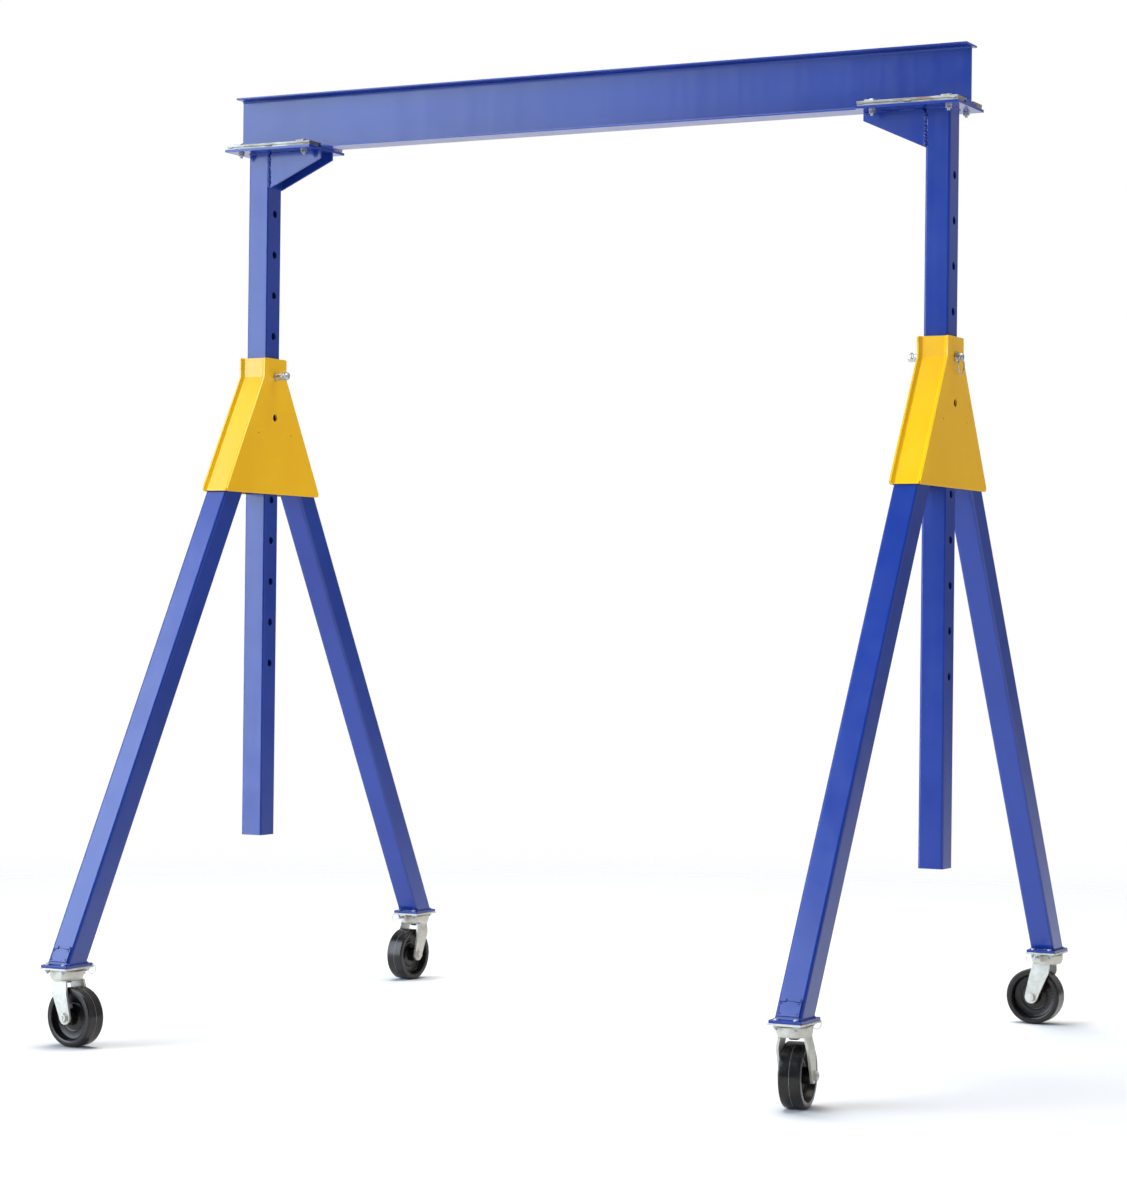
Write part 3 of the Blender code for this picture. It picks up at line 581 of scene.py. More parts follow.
def head_welds(side, sign):
    """The welds between the post, its top plate and the gussets."""
    low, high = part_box(f"{side}_post")
    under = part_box(f"{side}_top_plate")[0].z
    centre_x = (low.x + high.x) / 2
    ring = rectangle(high.x - low.x + 0.001, high.y - low.y + 0.001, POST_CORNER)
    beads = [weld([(centre_x + x, y, under - 0.0006) for x, y in ring], POST_BEAD, 3 + sign, True)]
    inner_wall = centre_x - sign * (high.x - low.x) / 2
    upright_x = inner_wall - sign * 0.0006
    for row, out in ROWS.items():
        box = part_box(f"{side}_{row}_gusset")
        outer_y = max(abs(box[0].y), abs(box[1].y)) * out
        foot = Vector((upright_x, outer_y - out * 0.0016, box[0].z + 0.001))
        top = Vector((upright_x, outer_y - out * 0.0016, box[1].z - GUSSET_COPE))
        beads.append(weld([foot, top], GUSSET_BEAD, 5 + out + sign, ripple=GUSSET_RIPPLE, rough=1.5))
        inside_y = outer_y - out * GUSSET_THICKNESS
        inside = [(upright_x, inside_y, z) for z in (foot.z, top.z)]
        beads.append(weld(inside, GUSSET_INSIDE_BEAD, 9 + out))
        tip_x = box[0].x if sign > 0 else box[1].x
        length = abs(inner_wall - tip_x)
        for share in STITCH_STARTS:
            start_x = tip_x + sign * length * share
            stitch = [(x, outer_y, under - 0.0010) for x in (start_x, start_x + sign * STITCH_LENGTH)]
            beads.append(weld(stitch, STITCH_BEAD, share * 10 + out + sign))
    piece(f"{side}_head_welds", merged(beads), BLUE, "upper_frame", angle=75)


def places_of(name):
    return [vert.co for vert in frame["nodes"][name].data.vertices]


def outer_ends(places, out):
    """The outer surface's top and bottom, as (distance from the middle, height)."""
    heights = [place.z for place in places]
    ends = []
    for end in (max(heights), min(heights)):
        reach = max(out * place.y for place in places if abs(place.z - end) < TINY)
        ends.append(Vector((reach, end)))
    return ends


def strip_line(name, out):
    """The strip's outer surface from top to bottom, with the bend between them."""
    places = places_of(name)
    neck, foot = outer_ends(places, out)
    bend = min(place.z for place in places if abs(out * place.y - neck.x) < TINY)
    return [neck, Vector((neck.x, bend)), foot]


def shroud_seams(side):
    """The sloping fillets where the shroud's strips meet its two plates."""
    shapes = []
    wide, deep = SEAM
    sunk = 0.0002  # into the plate and the strip
    profile = ((-sunk, -2 * sunk), (wide, -sunk), (wide * 0.42, deep * 0.38), (-sunk, deep))
    for row, out in ROWS.items():
        name = f"{side}_{row}_shroud_strip"
        line = strip_line(name, out)
        low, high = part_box(name)
        slope = (line[2] - line[1]).normalized()
        off_neck = Vector((1, 0))
        off_slope = Vector((-slope.y, slope.x))
        normals = [off_neck, (off_neck + off_slope).normalized(), off_slope.normalized()]
        for wall, towards in ((low.x, 1), (high.x, -1)):
            loops = []
            for place, normal in zip(line, normals):
                reaches = [(along, place + normal * away) for along, away in profile]
                loops.append([(wall + towards * along, out * reach.x, reach.y) for along, reach in reaches])
            shapes.append(skin(loops))
    piece(f"{side}_shroud_seams", merged(shapes), YELLOW, f"{side}_leg_frame", angle=50)


def name_plate(side, row):
    """A blank plate with a raised rim on the leg's outer face, riveted and clipped on, and painted over."""
    out = ROWS[row]
    places = places_of(f"{side}_{row}_leg")
    head, foot = outer_ends(places, out)
    middle = sum(place.x for place in places) / len(places)
    up = Vector((0, out * (head.x - foot.x), head.y - foot.y)).normalized()
    away = Vector((0, out * up.z, -out * up.y))
    across = up.cross(away)
    half_x, half_y = NAME_PLATE[0] / 2, NAME_PLATE[1] / 2
    rim, rim_top = NAME_PLATE_RIM
    shapes = [plate(NAME_PLATE[0], NAME_PLATE[1], -0.0004, NAME_PLATE_LIFT, 0.003)]
    for y in (-half_y, half_y - rim):
        shapes.append(block((-half_x + 0.0002, y, 0.0010), (half_x - 0.0002, y + rim, rim_top)))
    for x in (-half_x, half_x - rim):  # a little inside the other two, so no faces coincide
        shapes.append(block((x, -half_y + 0.0004, 0.0011), (x + rim, half_y - 0.0004, rim_top - 0.0001)))
    clip_low = half_y + CLIP_OVERHANG - CLIP[1]
    for x in (-half_x * 0.66, half_x * 0.66):
        corner = (x - CLIP[0] / 2, clip_low, 0.0012)
        shapes.append(block(corner, (x + CLIP[0] / 2, half_y + CLIP_OVERHANG, CLIP[2])))
    for x in (-half_x * 0.78, half_x * 0.78):
        for y in (-half_y * 0.66, half_y * 0.54):
            shapes.append(moved(lathe(RIVET, 16), at(x, y, 0)))
    turn = Matrix((across, up, away)).transposed().to_4x4()
    start = Vector((middle, out * foot.x, foot.y)) + up * NAME_PLATE_RISE
    tag = moved(merged(shapes), Matrix.Translation(start) @ turn)
    piece(f"{side}_{row}_name_plate", tag, BLUE, f"{side}_leg_frame", bevel=0.0003)


for side, sign in SIDES.items():
    head_welds(side, sign)
    shroud_seams(side)
    name_plate(side, "front")
    for row in ROWS:
        leg_weld(side, row)

# ---- Beam clamps -----------------------------------------

CLAMP_SPACER = 0.0078
CLAMP_BAR = 0.0082
CLAMP_REACH = 0.0340
CLAMP_BOLT_STEP = 0.1360
CLAMP_BOLT_Y = 0.0850
CLAMP_BOLT = (0.0060, 0.0190, 0.0122)  # a bolt's size, as bolt() takes it
CLAMP_BOLT_HEAD = 0.0058
CLAMP_NUT = 0.0106
CLAMP_WASHER = 0.0021
CLAMP_PAD = (0.0340, 0.0500, 0.0042)
# Each tack's place along the clamp, half its length and its radius.
CLAMP_TACKS = ((0.0, 0.016, 0.0042), (-0.164, 0.010, 0.0030), (0.164, 0.010, 0.0030))


def clamp(side, row, out):
    """A spacer bar tacked to a clamp bar over the beam's lower flange, with two pads and two bolts."""
    name = f"{side}_{row}_clamp"
    low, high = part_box(name)
    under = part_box("beam")[0].z
    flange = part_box("beam")[1].y + 0.0016
    step = under + CLAMP_SPACER
    top = step + CLAMP_BAR
    outer = max(abs(low.y), abs(high.y))
    inset = 0.0024

    def bar(first_y, last_y, first_z, last_z, first_x, last_x):
        ys = sorted((out * first_y, out * last_y))
        return block((first_x, ys[0], first_z), (last_x, ys[1], last_z))

    bars = [
        bar(flange, outer - inset, under, step - 0.0003, low.x + 0.0012, high.x - 0.0004),
        bar(CLAMP_REACH, outer, step, top, low.x, high.x),
    ]
    piece(f"{name}_bars", merged(bars), STEEL, "upper_frame", (name,), 0.0007, 30)
    middle = (low.x + high.x) / 2
    seam = out * (outer - 0.0014)
    beads = []
    for shift, half, radius in CLAMP_TACKS:
        line = [(middle + shift + end, seam, step - 0.0002) for end in (-half, half)]
        beads.append(weld(line, radius, middle + shift + out))
    piece(f"{name}_tacks", merged(beads), STEEL, "upper_frame", angle=75)
    plate_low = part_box(f"{side}_top_plate")[0].z
    shapes = []
    pads = []
    pad_middle = outer - 0.0018 - CLAMP_PAD[1] / 2
    for shift in (-CLAMP_BOLT_STEP, CLAMP_BOLT_STEP):
        pad_top = top + CLAMP_PAD[2]
        pad = plate(CLAMP_PAD[0], CLAMP_PAD[1], top - 0.0002, pad_top, 0.002)
        pads.append(moved(pad, at(middle + shift, out * pad_middle, 0)))
        turn = shift * 5 + out
        head = (pad_top, pad_top + CLAMP_BOLT_HEAD)
        washed = (plate_low - CLAMP_WASHER, plate_low - 0.0001)
        nut_top = washed[0] - 0.0001
        nut = (nut_top - CLAMP_NUT, nut_top)
        whole = bolt(CLAMP_BOLT, head, washed, nut, low.z, (turn, turn + 0.3))
        shapes.append(moved(whole, at(middle + shift, out * CLAMP_BOLT_Y, 0)))
    piece(f"{name}_pads", merged(pads), STEEL, "upper_frame", bevel=0.0006)
    piece(f"{name}_bolts", merged(shapes), BRIGHT, "upper_frame", angle=28)


for side in SIDES:
    for row, out in ROWS.items():
        clamp(side, row, out)

# ---- Height pins -----------------------------------------

PIN_RADIUS = 0.0127
PIN_COLLAR = (0.0180, 0.0070)  # radius and length
PIN_NECK = (0.0120, 0.0190)
PIN_EYE_RADIUS = 0.0060
PIN_RING_WIRE = 0.0024
PIN_RING_STEPS = 96
PIN_RING_JOIN = 30  # the step where the ring's ends meet
HAIRPIN_HOLE = 0.0430  # shroud's face to the hairpin
HAIRPIN_HOLE_RADIUS = 0.0026
HAIRPIN_WIRE = 0.0018
HAIRPIN_COIL = 0.0078
HAIRPIN_COIL_ALONG = 0.0198
HAIRPIN_COIL_TURN = 2.75 * math.pi
HAIRPIN_OFFSET = 0.0011  # from the straight leg to the wavy one, across the coil
HAIRPIN_LEG = (-0.0290, -0.015, 0.0, 0.0120)
CUT_REACH = 0.03


def hollowed(made, cutters):
    """Cut the shapes out of an object's mesh for good."""
    for cutter in cutters:
        tool = object_of("cutter", cutter)
        modifier = made.modifiers.new("hole", "BOOLEAN")
        modifier.operation = "DIFFERENCE"
        modifier.solver = "EXACT"
        modifier.object = tool
        bpy.context.view_layer.update()
        graph = bpy.context.evaluated_depsgraph_get()
        cut = bpy.data.meshes.new_from_object(made.evaluated_get(graph))
        made.modifiers.remove(modifier)
        made.data = cut
        bpy.data.objects.remove(tool)
    shade(made.data, 35)


def height_pin(side, sign):
    """A turned pin with a collar and a drilled neck, its welded pull ring and its hairpin."""
    pin = f"{side}_height_pin"
    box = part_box(pin)
    ring_low, ring_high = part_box(f"{side}_pin_ring")
    z = (box[0].z + box[1].z) / 2
    tip = min(abs(end.x) for end in box)
    collar = max(abs(face.x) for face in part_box(f"{side}_outer_shroud_plate")) + 0.0006
    neck = collar + PIN_COLLAR[1]
    end = neck + PIN_NECK[1]
    edge = 0.0012
    outline = [
        (0, end),
        (PIN_NECK[0] - 0.0030, end),
        (PIN_NECK[0] - 0.0008, end - 0.0009),
        (PIN_NECK[0], end - 0.0030),
        (PIN_NECK[0], neck + 0.0008),
        (PIN_NECK[0] + 0.0008, neck),
        (PIN_COLLAR[0] - edge, neck),
        (PIN_COLLAR[0], neck - edge),
        (PIN_COLLAR[0], collar + edge),
        (PIN_COLLAR[0] - edge, collar),
        (PIN_RADIUS, collar),
        (PIN_RADIUS, tip + 0.0050),
        (PIN_RADIUS * 0.93, tip + 0.0026),
        (PIN_RADIUS * 0.66, tip + 0.0004),
        (PIN_RADIUS * 0.50, tip),
        (0, tip),
    ]
    turned = lathe(outline, 48)
    moved(turned, at(0, 0, z) @ Matrix.Rotation(sign * math.pi / 2, 4, "Y"))
    made = piece(f"{pin}_turned", turned, BRIGHT, pin, (pin,))
    inner_face = min(abs(face.x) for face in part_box(f"{side}_inner_shroud_plate"))
    hole_x = sign * (inner_face - HAIRPIN_HOLE)
    eye_x = (ring_low.x + ring_high.x) / 2
    across = Matrix.Rotation(math.pi / 2, 4, "X")
    eye = moved(rod(PIN_EYE_RADIUS, -CUT_REACH, CUT_REACH, 32), at(eye_x, 0, z) @ across)
    hole = moved(rod(HAIRPIN_HOLE_RADIUS, -CUT_REACH, CUT_REACH, 20), at(hole_x, 0, z) @ across)
    hollowed(made, [eye, hole])
    radius = (ring_high.z - ring_low.z) / 2 - PIN_RING_WIRE
    middle = Vector((eye_x, 0, (ring_low.z + ring_high.z) / 2))
    radii = [PIN_RING_WIRE] * PIN_RING_STEPS
    for step, extra in ((0, 0.0003), (1, 0.0002), (-1, 0.0002), (2, 0.0001), (-2, 0.0001)):
        radii[step + PIN_RING_JOIN] += extra
    ring = sweep(hoop(middle, radius, Vector((0, 1, 0)), PIN_RING_STEPS), radii, 14, True)
    piece(f"{side}_pin_ring_wire", ring, BRIGHT, f"{side}_pin_ring", (f"{side}_pin_ring",))
    hairpin(side, sign, hole_x, z)


def hairpin(side, sign, x, z):
    """A cotter hairpin: a straight leg through the pin, a coiled eye, and a wavy leg over the pin."""
    over = PIN_RADIUS + HAIRPIN_WIRE + 0.0004
    points = [(0.0, along, 0.0) for along in HAIRPIN_LEG]
    steps = 22
    for step in range(steps + 1):
        share = step / steps
        angle = HAIRPIN_COIL_TURN * share - math.pi / 2
        along = HAIRPIN_COIL_ALONG + HAIRPIN_COIL * math.cos(angle)
        points.append((HAIRPIN_OFFSET * share, along, HAIRPIN_COIL + HAIRPIN_COIL * math.sin(angle)))
    wave = [(0.0110, over + 0.0022), (0.0055, over + 0.0012), (-0.0020, over), (-0.0090, over - 0.0014)]
    wave += [(-0.0140, over - 0.0014), (-0.0190, over + 0.0006), (-0.0228, over + 0.0036)]
    points += [(HAIRPIN_OFFSET, along, up) for along, up in wave]
    line = [Vector((x + off, -sign * along, z + up)) for off, along, up in points]
    wire = sweep(smoothed(line), HAIRPIN_WIRE, 12)
    piece(f"{side}_hairpin_wire", wire, BRIGHT, f"{side}_hairpin", (f"{side}_hairpin",))


def smoothed(points, steps=4):
    """A Catmull-Rom curve through the points."""
    line = []
    last = len(points) - 1
    for index in range(last):
        a = points[max(index - 1, 0)]
        b = points[index]
        c = points[index + 1]
        d = points[min(index + 2, last)]
        square = 2 * a - 5 * b + 4 * c - d
        cube = 3 * b - a - 3 * c + d
        for step in range(steps):
            t = step / steps
            line.append(0.5 * (2 * b + (c - a) * t + square * t * t + cube * t**3))
    line.append(points[-1])
    return line


for side, sign in SIDES.items():
    height_pin(side, sign)

# ---- Casters ---------------------------------------------

CASTER_PLATE_THICKNESS = 0.0064
CASTER_BOLT_PLACE = (0.0320, 0.0655)
CASTER_BOLT = (0.0050, 0.0142, 0.0098)
CASTER_BOLT_HEAD = 0.0046
CASTER_WASHER = 0.0018
CASTER_NUT = 0.0068
CASTER_STUD = 0.0045
RACE_RADIUS = 0.0440
RACE_HEIGHT = 0.0038
CROWN_RADIUS = 0.0575
CROWN_HEIGHT = 0.0340
KINGPIN_RADIUS = 0.0078
KINGPIN_ACROSS = 0.0285
KINGPIN_COLLAR = 0.0240
FORK_HALF = 0.0520
FORK_PLATE = 0.0080
FORK_TOP = (-0.0240, 0.0400)
FORK_KNEE = (0.0015, 0.0330)  # from the back of the fork's top
FORK_TUCK = 0.0068  # how far the fork's top is drawn in
FORK_TUCK_HEIGHT = (0.048, 0.046)  # top to the end of the tuck, and the tuck's own height
FORK_END_RADIUS = 0.0235
WHEEL_HALF = 0.0350
HUB_HALF = 0.0425
BUSH = (0.0132, 0.012)  # radius and depth in the hub
AXLE_RADIUS = 0.0063
AXLE_ACROSS = 0.0262
AXLE_WASHER = (0.0165, 0.0018)
AXLE_HEAD = 0.0072
AXLE_NUT = 0.0092
AXLE_STUD = 0.0032
LUG = (0.0220, 0.0120, 0.0250)
LUG_INNER_Y = 0.0665
LOCK_SHIFT = 0.0100
LOCK_RING_WIRE = 0.0012
LOCK_EYE_RADIUS = 0.0029
PLUNGER_CAP = 0.0318  # knob's end to the spring cap
PLUNGER_GRIP = 0.0125  # knob's end to its two grooved bands

joint_places = {joint["name"]: Vector(joint["pos_m"]) for joint in frame["joints"] if "pos_m" in joint}


def caster_top(corner, frame_body, centre, inward):
    """The bolting plate with its race and lock lug, and the four bolts."""
    low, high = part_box(f"{corner}_caster_plate")
    top = high.z
    under = top - CASTER_PLATE_THICKNESS
    sunk = under + 0.001  # into the plate
    size_y = 2 * max(abs(high.y - centre.y), abs(low.y - centre.y))
    shapes = [plate(2 * (high.x - centre.x), size_y, under, top, 0.006)]
    race_low = under - RACE_HEIGHT
    race = [(0, sunk), (RACE_RADIUS + 0.0020, sunk), (RACE_RADIUS + 0.0008, under - 0.0012)]
    race += [(RACE_RADIUS, under - 0.0030), (RACE_RADIUS - 0.0012, race_low), (0, race_low)]
    shapes.append(lathe(race, 72))
    lug_y = sorted((inward * LUG_INNER_Y, inward * (LUG_INNER_Y + LUG[1])))
    lug_x = inward * LOCK_SHIFT
    lug_corner = (lug_x + LUG[0] / 2, lug_y[1], sunk)
    shapes.append(block((lug_x - LUG[0] / 2, lug_y[0], under - LUG[2]), lug_corner))
    whole = moved(merged(shapes), at(centre.x, centre.y, 0))
    node_name = f"{corner}_caster_plate"
    piece(f"{corner}_caster_plate_stamped", whole, ZINC, frame_body, (node_name,), 0.0009, 32)
    blue_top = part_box(f"{corner}_base_plate")[1].z
    bolts = []
    head = (blue_top + 0.0001, blue_top + CASTER_BOLT_HEAD)
    washed = (under - CASTER_WASHER, under - 0.0001)
    nut = (washed[0] - CASTER_NUT, washed[0])
    for x in (-CASTER_BOLT_PLACE[0], CASTER_BOLT_PLACE[0]):
        for y in (-CASTER_BOLT_PLACE[1], CASTER_BOLT_PLACE[1]):
            turn = x * 31 + y * 17 + centre.x
            whole = bolt(CASTER_BOLT, head, washed, nut, nut[0] - CASTER_STUD, (turn, turn + 0.5))
            bolts.append(moved(whole, at(centre.x + x, centre.y + y, 0)))
    piece(f"{corner}_caster_bolts", merged(bolts), BRIGHT, frame_body, angle=28)


def fork_leg(trail, axle_z, top, way):
    """One raked side of the fork: straight at the top, then sloping to a round end."""
    knee = (FORK_TOP[0] + FORK_KNEE[0], top - FORK_KNEE[1])

    def touch(corner, turn):
        """Where a line from the corner touches the round end."""
        across = corner[0] - trail
        up = corner[1] - axle_z
        angle = math.atan2(up, across) + turn * math.acos(FORK_END_RADIUS / math.hypot(across, up))
        return trail + FORK_END_RADIUS * math.cos(angle), axle_z + FORK_END_RADIUS * math.sin(angle)

    back_touch = touch(knee, 1)
    front_touch = touch((FORK_TOP[1], top), -1)
    bottom = axle_z - FORK_END_RADIUS

    def between(first, second, z):
        share = (first[1] - z) / (first[1] - second[1])
        return first[0] + (second[0] - first[0]) * share

    def edges(z):
        """The side's rear and fore edges at height z."""
        reach = math.sqrt(max(FORK_END_RADIUS**2 - (z - axle_z) ** 2, 1e-8))
        if z > knee[1]:
            rear = between((FORK_TOP[0], top), knee, z)
        elif z > back_touch[1]:
            rear = between(knee, back_touch, z)
        else:
            rear = trail - reach
        fore = between((FORK_TOP[1], top), front_touch, z) if z > front_touch[1] else trail + reach
        return rear, fore

    straight = 16
    levels = [top - (top - axle_z) * step / straight for step in range(straight)]
    curved = 14
    levels += [axle_z - FORK_END_RADIUS * math.sin(math.pi / 2 * step / curved) for step in range(curved)]
    levels.append(bottom + 0.00002)
    loops = []
    for z in levels:
        rear, fore = edges(z)
        share = min(max((z - top + FORK_TUCK_HEIGHT[0]) / FORK_TUCK_HEIGHT[1], 0.0), 1.0)
        outer = way * (FORK_HALF - FORK_TUCK * share * share * (3 - 2 * share))
        inner = outer - way * FORK_PLATE
        loops.append([(rear, outer, z), (fore, outer, z), (fore, inner, z), (rear, inner, z)])
    return skin(loops)


def fork(corner, swivel, trail, axle_z):
    """The yoke: a drum with flat cheeks over the raked legs, welds, thrust collar and kingpin nut."""
    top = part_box(f"{corner}_fork")[1].z
    low = top - CROWN_HEIGHT
    wide = CROWN_RADIUS
    drum = [(0, top), (RACE_RADIUS + 0.0060, top), (wide - 0.0022, top - 0.0010), (wide, top - 0.0035)]
    drum += [(wide, top - 0.0150), (wide - 0.0012, top - 0.0220), (wide - 0.0042, low + 0.0050)]
    drum += [(wide - 0.0075, low + 0.0010), (wide - 0.0100, low), (0, low)]
    body = lathe(drum, 96)
    for vert in body.verts:
        vert.co.y = max(-FORK_HALF, min(FORK_HALF, vert.co.y))
    bmesh.ops.remove_doubles(body, verts=body.verts, dist=0.00001)
    shapes = [body]
    for way in (-1, 1):
        shapes.append(fork_leg(trail, axle_z, low + 0.0020, way))
        for y, radius in ((FORK_HALF - FORK_TUCK, 0.0026), (FORK_HALF - FORK_TUCK - FORK_PLATE, 0.0030)):
            line = [(x, way * y, low - 0.0002) for x in (FORK_TOP[0] + 0.003, FORK_TOP[1] - 0.003)]
            shapes.append(weld(line, radius, way + y * 100))
    yoke = moved(merged(shapes), swivel)
    piece(f"{corner}_yoke", yoke, ZINC, f"{corner}_caster", (f"{corner}_fork",), 0.0011, 38)
    collar = [(0, low + 0.001), (KINGPIN_COLLAR, low + 0.001), (KINGPIN_COLLAR, low - 0.0014)]
    collar += [(KINGPIN_COLLAR - 0.0015, low - 0.0024), (0, low - 0.0024)]
    nut_low = low - 0.0092
    king = [
        lathe(collar, 48),
        hexagon(KINGPIN_ACROSS, nut_low, low - 0.0022, True, 0.4),
        threaded(KINGPIN_RADIUS, nut_low - 0.0002, low - 0.002),
    ]
    kingpin = moved(merged(king), swivel)
    piece(f"{corner}_kingpin", kingpin, DARK, f"{corner}_caster", angle=28)


def axle(corner, along):
    """The axle bolt with its washers and nut, along the swivel's own Y."""
    face = FORK_HALF + 0.0003
    washer_face = face + AXLE_WASHER[1]
    nut_end = -washer_face - AXLE_NUT
    parts = [
        washer(AXLE_WASHER[0], AXLE_RADIUS - 0.0005, face, washer_face),
        hexagon(AXLE_ACROSS, washer_face, washer_face + AXLE_HEAD, turn=0.25),
        rod(AXLE_RADIUS, -face - 0.0005, face + 0.002, 32),
        washer(AXLE_WASHER[0], AXLE_RADIUS - 0.0005, -washer_face, -face),
        hexagon(AXLE_ACROSS, nut_end, -washer_face, True, 0.1),
        threaded(AXLE_RADIUS, nut_end - AXLE_STUD, -face),
    ]
    whole = moved(merged(parts), along)
    piece(f"{corner}_axle", whole, ZINC, f"{corner}_caster", (f"{corner}_axle_bolt",), angle=28)


def wheel(corner, along, axle_z):
    """A moulded wheel: a tread with a parting line, broad rims, dished sides and a long hub."""
    tread = axle_z - 0.0004
    rim = tread - 0.0050
    upper = [(0.0130, HUB_HALF - 0.0012), (0.0150, HUB_HALF), (0.0232, HUB_HALF)]
    upper.append((0.0246, HUB_HALF - 0.0014))
    upper += [(0.0262, 0.0160), (0.0272, 0.0128), (0.0300, 0.0112), (0.0450, 0.0104), (0.0475, 0.0118)]
    upper += [(0.0500, 0.0118), (0.0524, 0.0102), (0.0700, 0.0100), (0.0738, 0.0112), (0.0760, 0.0140)]
    upper += [(0.0790, WHEEL_HALF - 0.0045), (0.0802, WHEEL_HALF - 0.0016), (0.0822, WHEEL_HALF - 0.0004)]
    upper += [(0.0850, WHEEL_HALF), (rim, WHEEL_HALF)]
    corner_arc = arc((rim - 0.0002, WHEEL_HALF - 0.0052), 0.0052, 90, 0, 6)
    upper += corner_arc[1:]
    upper += [(tread, 0.0200), (tread, 0.0010)]
    outline = upper + [(r, -z) for r, z in reversed(upper)]
    shape = moved(lathe(outline, 112), along)
    name = f"{corner}_wheel"
    piece(f"{corner}_wheel_moulded", shape, RESIN, name, (name,), angle=30)
    # The flash ridge takes the pale grey FLASH colour, a painted highlight along the parting line.
    flash = [(tread - 0.0005, -0.0010), (tread + 0.0002, -0.0007), (tread + 0.0003, 0.0)]
    flash += [(tread + 0.0002, 0.0007), (tread - 0.0005, 0.0010)]
    piece(f"{corner}_wheel_flash", moved(lathe(flash, 112), along), FLASH, name)
    bore = AXLE_RADIUS + 0.0003
    bushes = []
    for way in (-1, 1):
        end = way * (HUB_HALF + 0.0001)
        start = way * (HUB_HALF - BUSH[1])
        ring = [(bore, start), (BUSH[0], start), (BUSH[0], end - way * 0.0006), (BUSH[0] - 0.0006, end)]
        ring += [(bore + 0.0007, end), (bore, end - way * 0.0008)]
        bushes.append(lathe(ring, 48))
    piece(f"{corner}_wheel_bushes", moved(merged(bushes), along), BRIGHT, name, angle=28)


def swivel_lock(corner, inward):
    """The lock's plunger with a spring cap and a grooved knob, and the pull ring that stands out of it."""
    low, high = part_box(f"{corner}_lock_plunger")
    x = (low.x + high.x) / 2
    z = (low.z + high.z) / 2
    start = low.y if inward > 0 else high.y
    reach = high.y - low.y
    cap = reach - PLUNGER_CAP
    knob = reach - PLUNGER_GRIP
    outline = [(0, 0), (0.0028, 0), (0.0038, 0.0014), (0.0038, cap), (0.0050, cap)]
    outline += [(0.0056, cap + 0.0007), (0.0056, cap + 0.0045), (0.0050, cap + 0.0052)]
    outline += [(0.0042, cap + 0.0054), (0.0042, knob - 0.0004)]
    outline += [(0.0050, knob), (0.0056, knob + 0.0007), (0.0056, knob + 0.0022), (0.0050, knob + 0.0028)]
    outline += [(0.0050, knob + 0.0036), (0.0056, knob + 0.0042)]
    outline += [(0.0056, reach - 0.0020), (0.0042, reach - 0.0004), (0.0030, reach), (0, reach)]
    shape = lathe(outline, 32)
    turned = Matrix.Rotation(-inward * math.pi / 2, 4, "X")
    moved(shape, at(x, start, z) @ turned)
    node_name = f"{corner}_lock_plunger"
    made = piece(f"{corner}_plunger_turned", shape, BRIGHT, node_name, (node_name,))
    ring_low, ring_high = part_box(f"{corner}_lock_ring")
    middle = (ring_low + ring_high) / 2
    hollowed(made, [moved(rod(LOCK_EYE_RADIUS, -0.02, 0.02, 20), at(x, middle.y, z))])
    radius = (ring_high.z - ring_low.z) / 2 - LOCK_RING_WIRE
    ring = sweep(hoop(middle, radius, Vector((1, 0, 0)), 72), LOCK_RING_WIRE, 10, True)
    node_name = f"{corner}_lock_ring"
    piece(f"{corner}_lock_ring_wire", ring, ZINC, node_name, (node_name,))


for side in SIDES:
    for row, out in ROWS.items():
        corner = f"{side}_{row}"
        swivel_place = joint_places[f"{corner}_swivel"]
        wheel_place = joint_places[f"{corner}_wheel_spin"]
        reach = wheel_place - swivel_place
        yaw = math.atan2(reach.y, reach.x)
        trail = math.hypot(reach.x, reach.y)
        swivel = at(swivel_place.x, swivel_place.y, 0) @ Matrix.Rotation(yaw, 4, "Z")
        caster_top(corner, f"{side}_leg_frame", swivel_place, -out)
        fork(corner, swivel, trail, wheel_place.z)
        along = swivel @ at(trail, 0, wheel_place.z) @ Matrix.Rotation(-math.pi / 2, 4, "X")
        axle(corner, along)
        wheel(corner, along, wheel_place.z)
        swivel_lock(corner, -out)

# ---- Floor, light and background -------------------------

FLOOR_RADIUS = 16.0
FLOOR_FADE = (3.2, 9.0)  # where the floor starts and ends to fade out
FLOOR_DROP = 0.0008


def floor():
    """A pale disc that fades out into the white background."""
    shape = bmesh.new()
    bmesh.ops.create_circle(shape, cap_ends=True, segments=96, radius=FLOOR_RADIUS)
    made = object_of("floor", shape)
    material, tree, shader, place = start_material("floor")
    connect(tree, shader, Base_Color=(0.78, 0.78, 0.78, 1), Roughness=0.85)
    distance = node(tree, "VectorMath", {0: place}, operation="LENGTH").outputs["Value"]
    fade = remap(tree, distance, *FLOOR_FADE)
    clear = node(tree, "BsdfTransparent")
    join = node(tree, "MixShader", {0: fade, 1: shader.outputs[0], 2: clear.outputs[0]})
    tree.links.new(join.outputs[0], tree.nodes["Material Output"].inputs[0])
    made.data.materials.append(material)
    made.location.z = -FLOOR_DROP


BOX_AZIMUTH = math.radians(44)  # left of -Y, as the crane sees it
BOX_HEIGHT = math.radians(20.5)
BOX_HALF = (0.315, math.tan(math.radians(26.5)))  # half its width and height, one metre away
BOX_SOFT = (0.29, 0.12)  # how wide its edges fade
BOX_LIGHT = 5.7
BOX_COLOUR = (0.84, 1.0, 1.20, 1)
SIDE_LIGHT = 0.6
ZENITH_LIGHT = 2.6
GROUND_LIGHT = 0.9
ROOM_LIGHT = 0.05
OVERHEAD_SIZE = 5.0
OVERHEAD_POWER = 500
OVERHEAD_PLACE = (-1.2, 1.0, 7.5)
OVERHEAD_TURN = (math.radians(-7), math.radians(-9), 0)


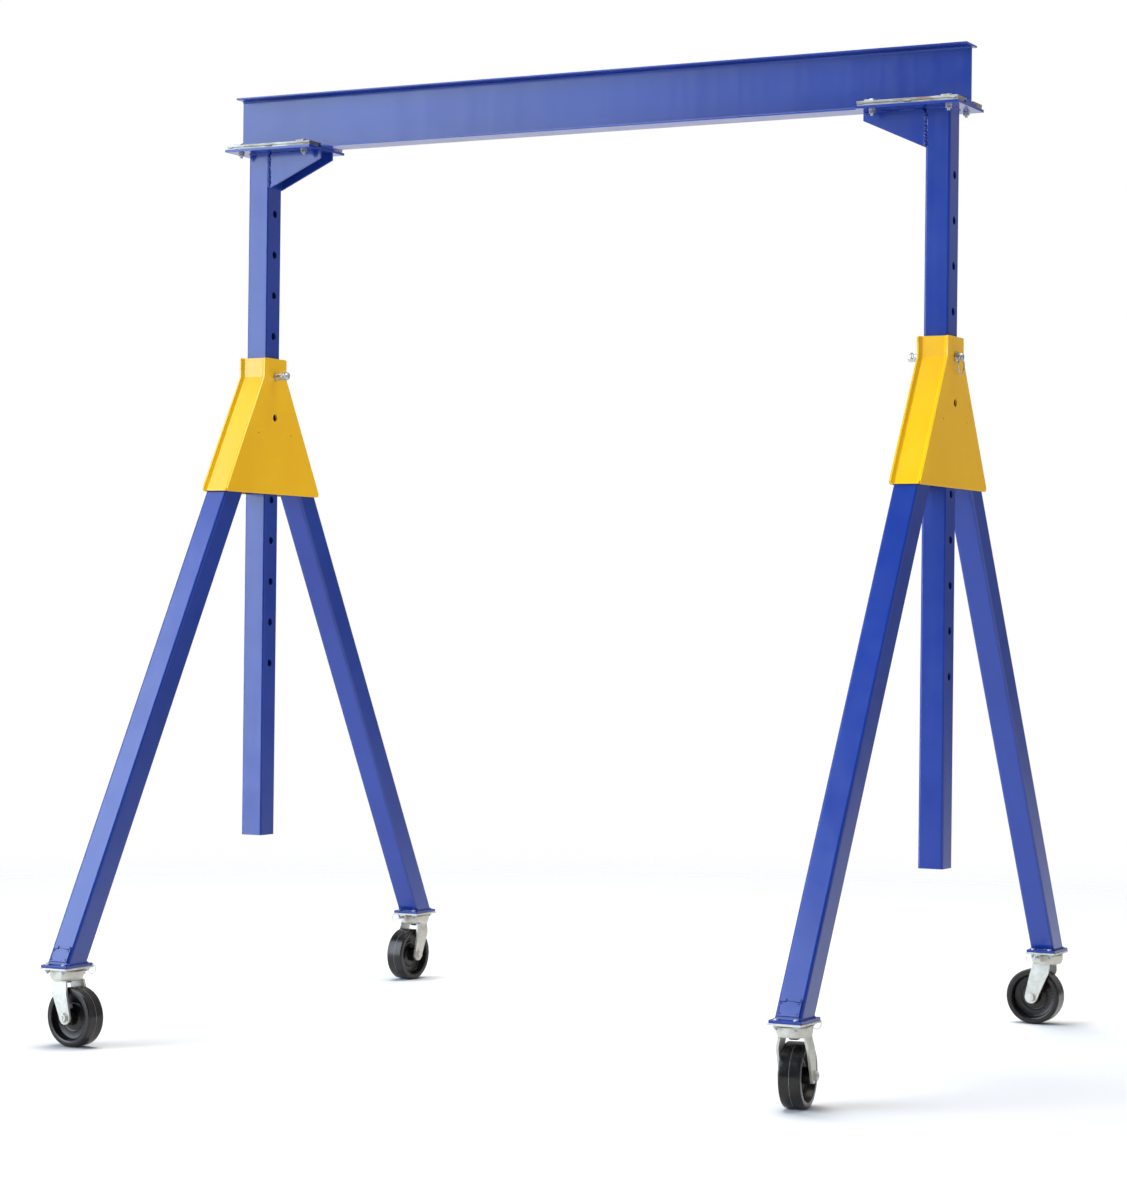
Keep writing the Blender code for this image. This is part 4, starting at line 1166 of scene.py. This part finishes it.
def background(tree, colour, strength):
    return node(tree, "Background", {"Color": colour, "Strength": strength}).outputs[0]


def studio():
    """A white background for the camera; a dim room with a broad soft panel at the front left."""
    world = bpy.data.worlds.new("studio")
    bpy.context.scene.world = world
    world.use_nodes = True
    tree = world.node_tree
    tree.nodes.clear()
    direction = node(tree, "TexCoord").outputs["Generated"]
    parts = node(tree, "SeparateXYZ", {0: direction})
    up = parts.outputs[2]
    flat = -math.cos(BOX_HEIGHT)
    towards = Vector((math.sin(BOX_AZIMUTH) * flat, math.cos(BOX_AZIMUTH) * flat, math.sin(BOX_HEIGHT)))
    level = Vector((towards.y, -towards.x, 0)).normalized()
    upright = level.cross(towards).normalized()
    dots = []
    for axis in (towards, level, upright):
        inputs = {0: direction, 1: tuple(axis)}
        dot = node(tree, "VectorMath", inputs, operation="DOT_PRODUCT")
        dots.append(dot.outputs["Value"])
    mask = maths(tree, "GREATER_THAN", dots[0], 0.05)
    for value, half, soft in zip(dots[1:], BOX_HALF, BOX_SOFT):
        ratio = maths(tree, "ABSOLUTE", maths(tree, "DIVIDE", value, dots[0]))
        mask = maths(tree, "MULTIPLY", mask, remap(tree, ratio, half - soft / 2, half + soft / 2, 1.0, 0.0))
    back = remap(tree, parts.outputs[1], -0.15, 0.45)
    sky = remap(tree, up, 0.02, 0.20, 0.10, 0.42)
    room = maths(tree, "ADD", ROOM_LIGHT, maths(tree, "MULTIPLY", back, sky))
    zenith = remap(tree, up, 0.88, 0.98, 0.0, ZENITH_LIGHT)
    ground = remap(tree, up, -0.12, -0.02, GROUND_LIGHT, 0.0)
    flank = remap(tree, parts.outputs[0], 0.72, 0.95, 0.0, SIDE_LIGHT)
    around = maths(tree, "ADD", maths(tree, "ADD", room, zenith), maths(tree, "ADD", ground, flank))
    dim = background(tree, (1, 1, 1, 1), around)
    panel = background(tree, BOX_COLOUR, maths(tree, "MULTIPLY", mask, BOX_LIGHT))
    light = node(tree, "AddShader", {0: dim, 1: panel})
    white = background(tree, (1, 1, 1, 1), 1.0)
    ray = node(tree, "LightPath").outputs["Is Camera Ray"]
    join = node(tree, "MixShader", {0: ray, 1: light.outputs[0], 2: white})
    out = node(tree, "OutputWorld")
    tree.links.new(join.outputs[0], out.inputs[0])
    lamp_data = bpy.data.lights.new("overhead", "AREA")
    lamp_data.shape = "DISK"
    lamp_data.size = OVERHEAD_SIZE
    lamp_data.energy = OVERHEAD_POWER
    lamp = bpy.data.objects.new("overhead", lamp_data)
    lamp.location = OVERHEAD_PLACE
    lamp.rotation_euler = OVERHEAD_TURN
    lamp.visible_camera = False
    bpy.context.scene.collection.objects.link(lamp)


floor()
studio()

bpy.context.view_layer.update()
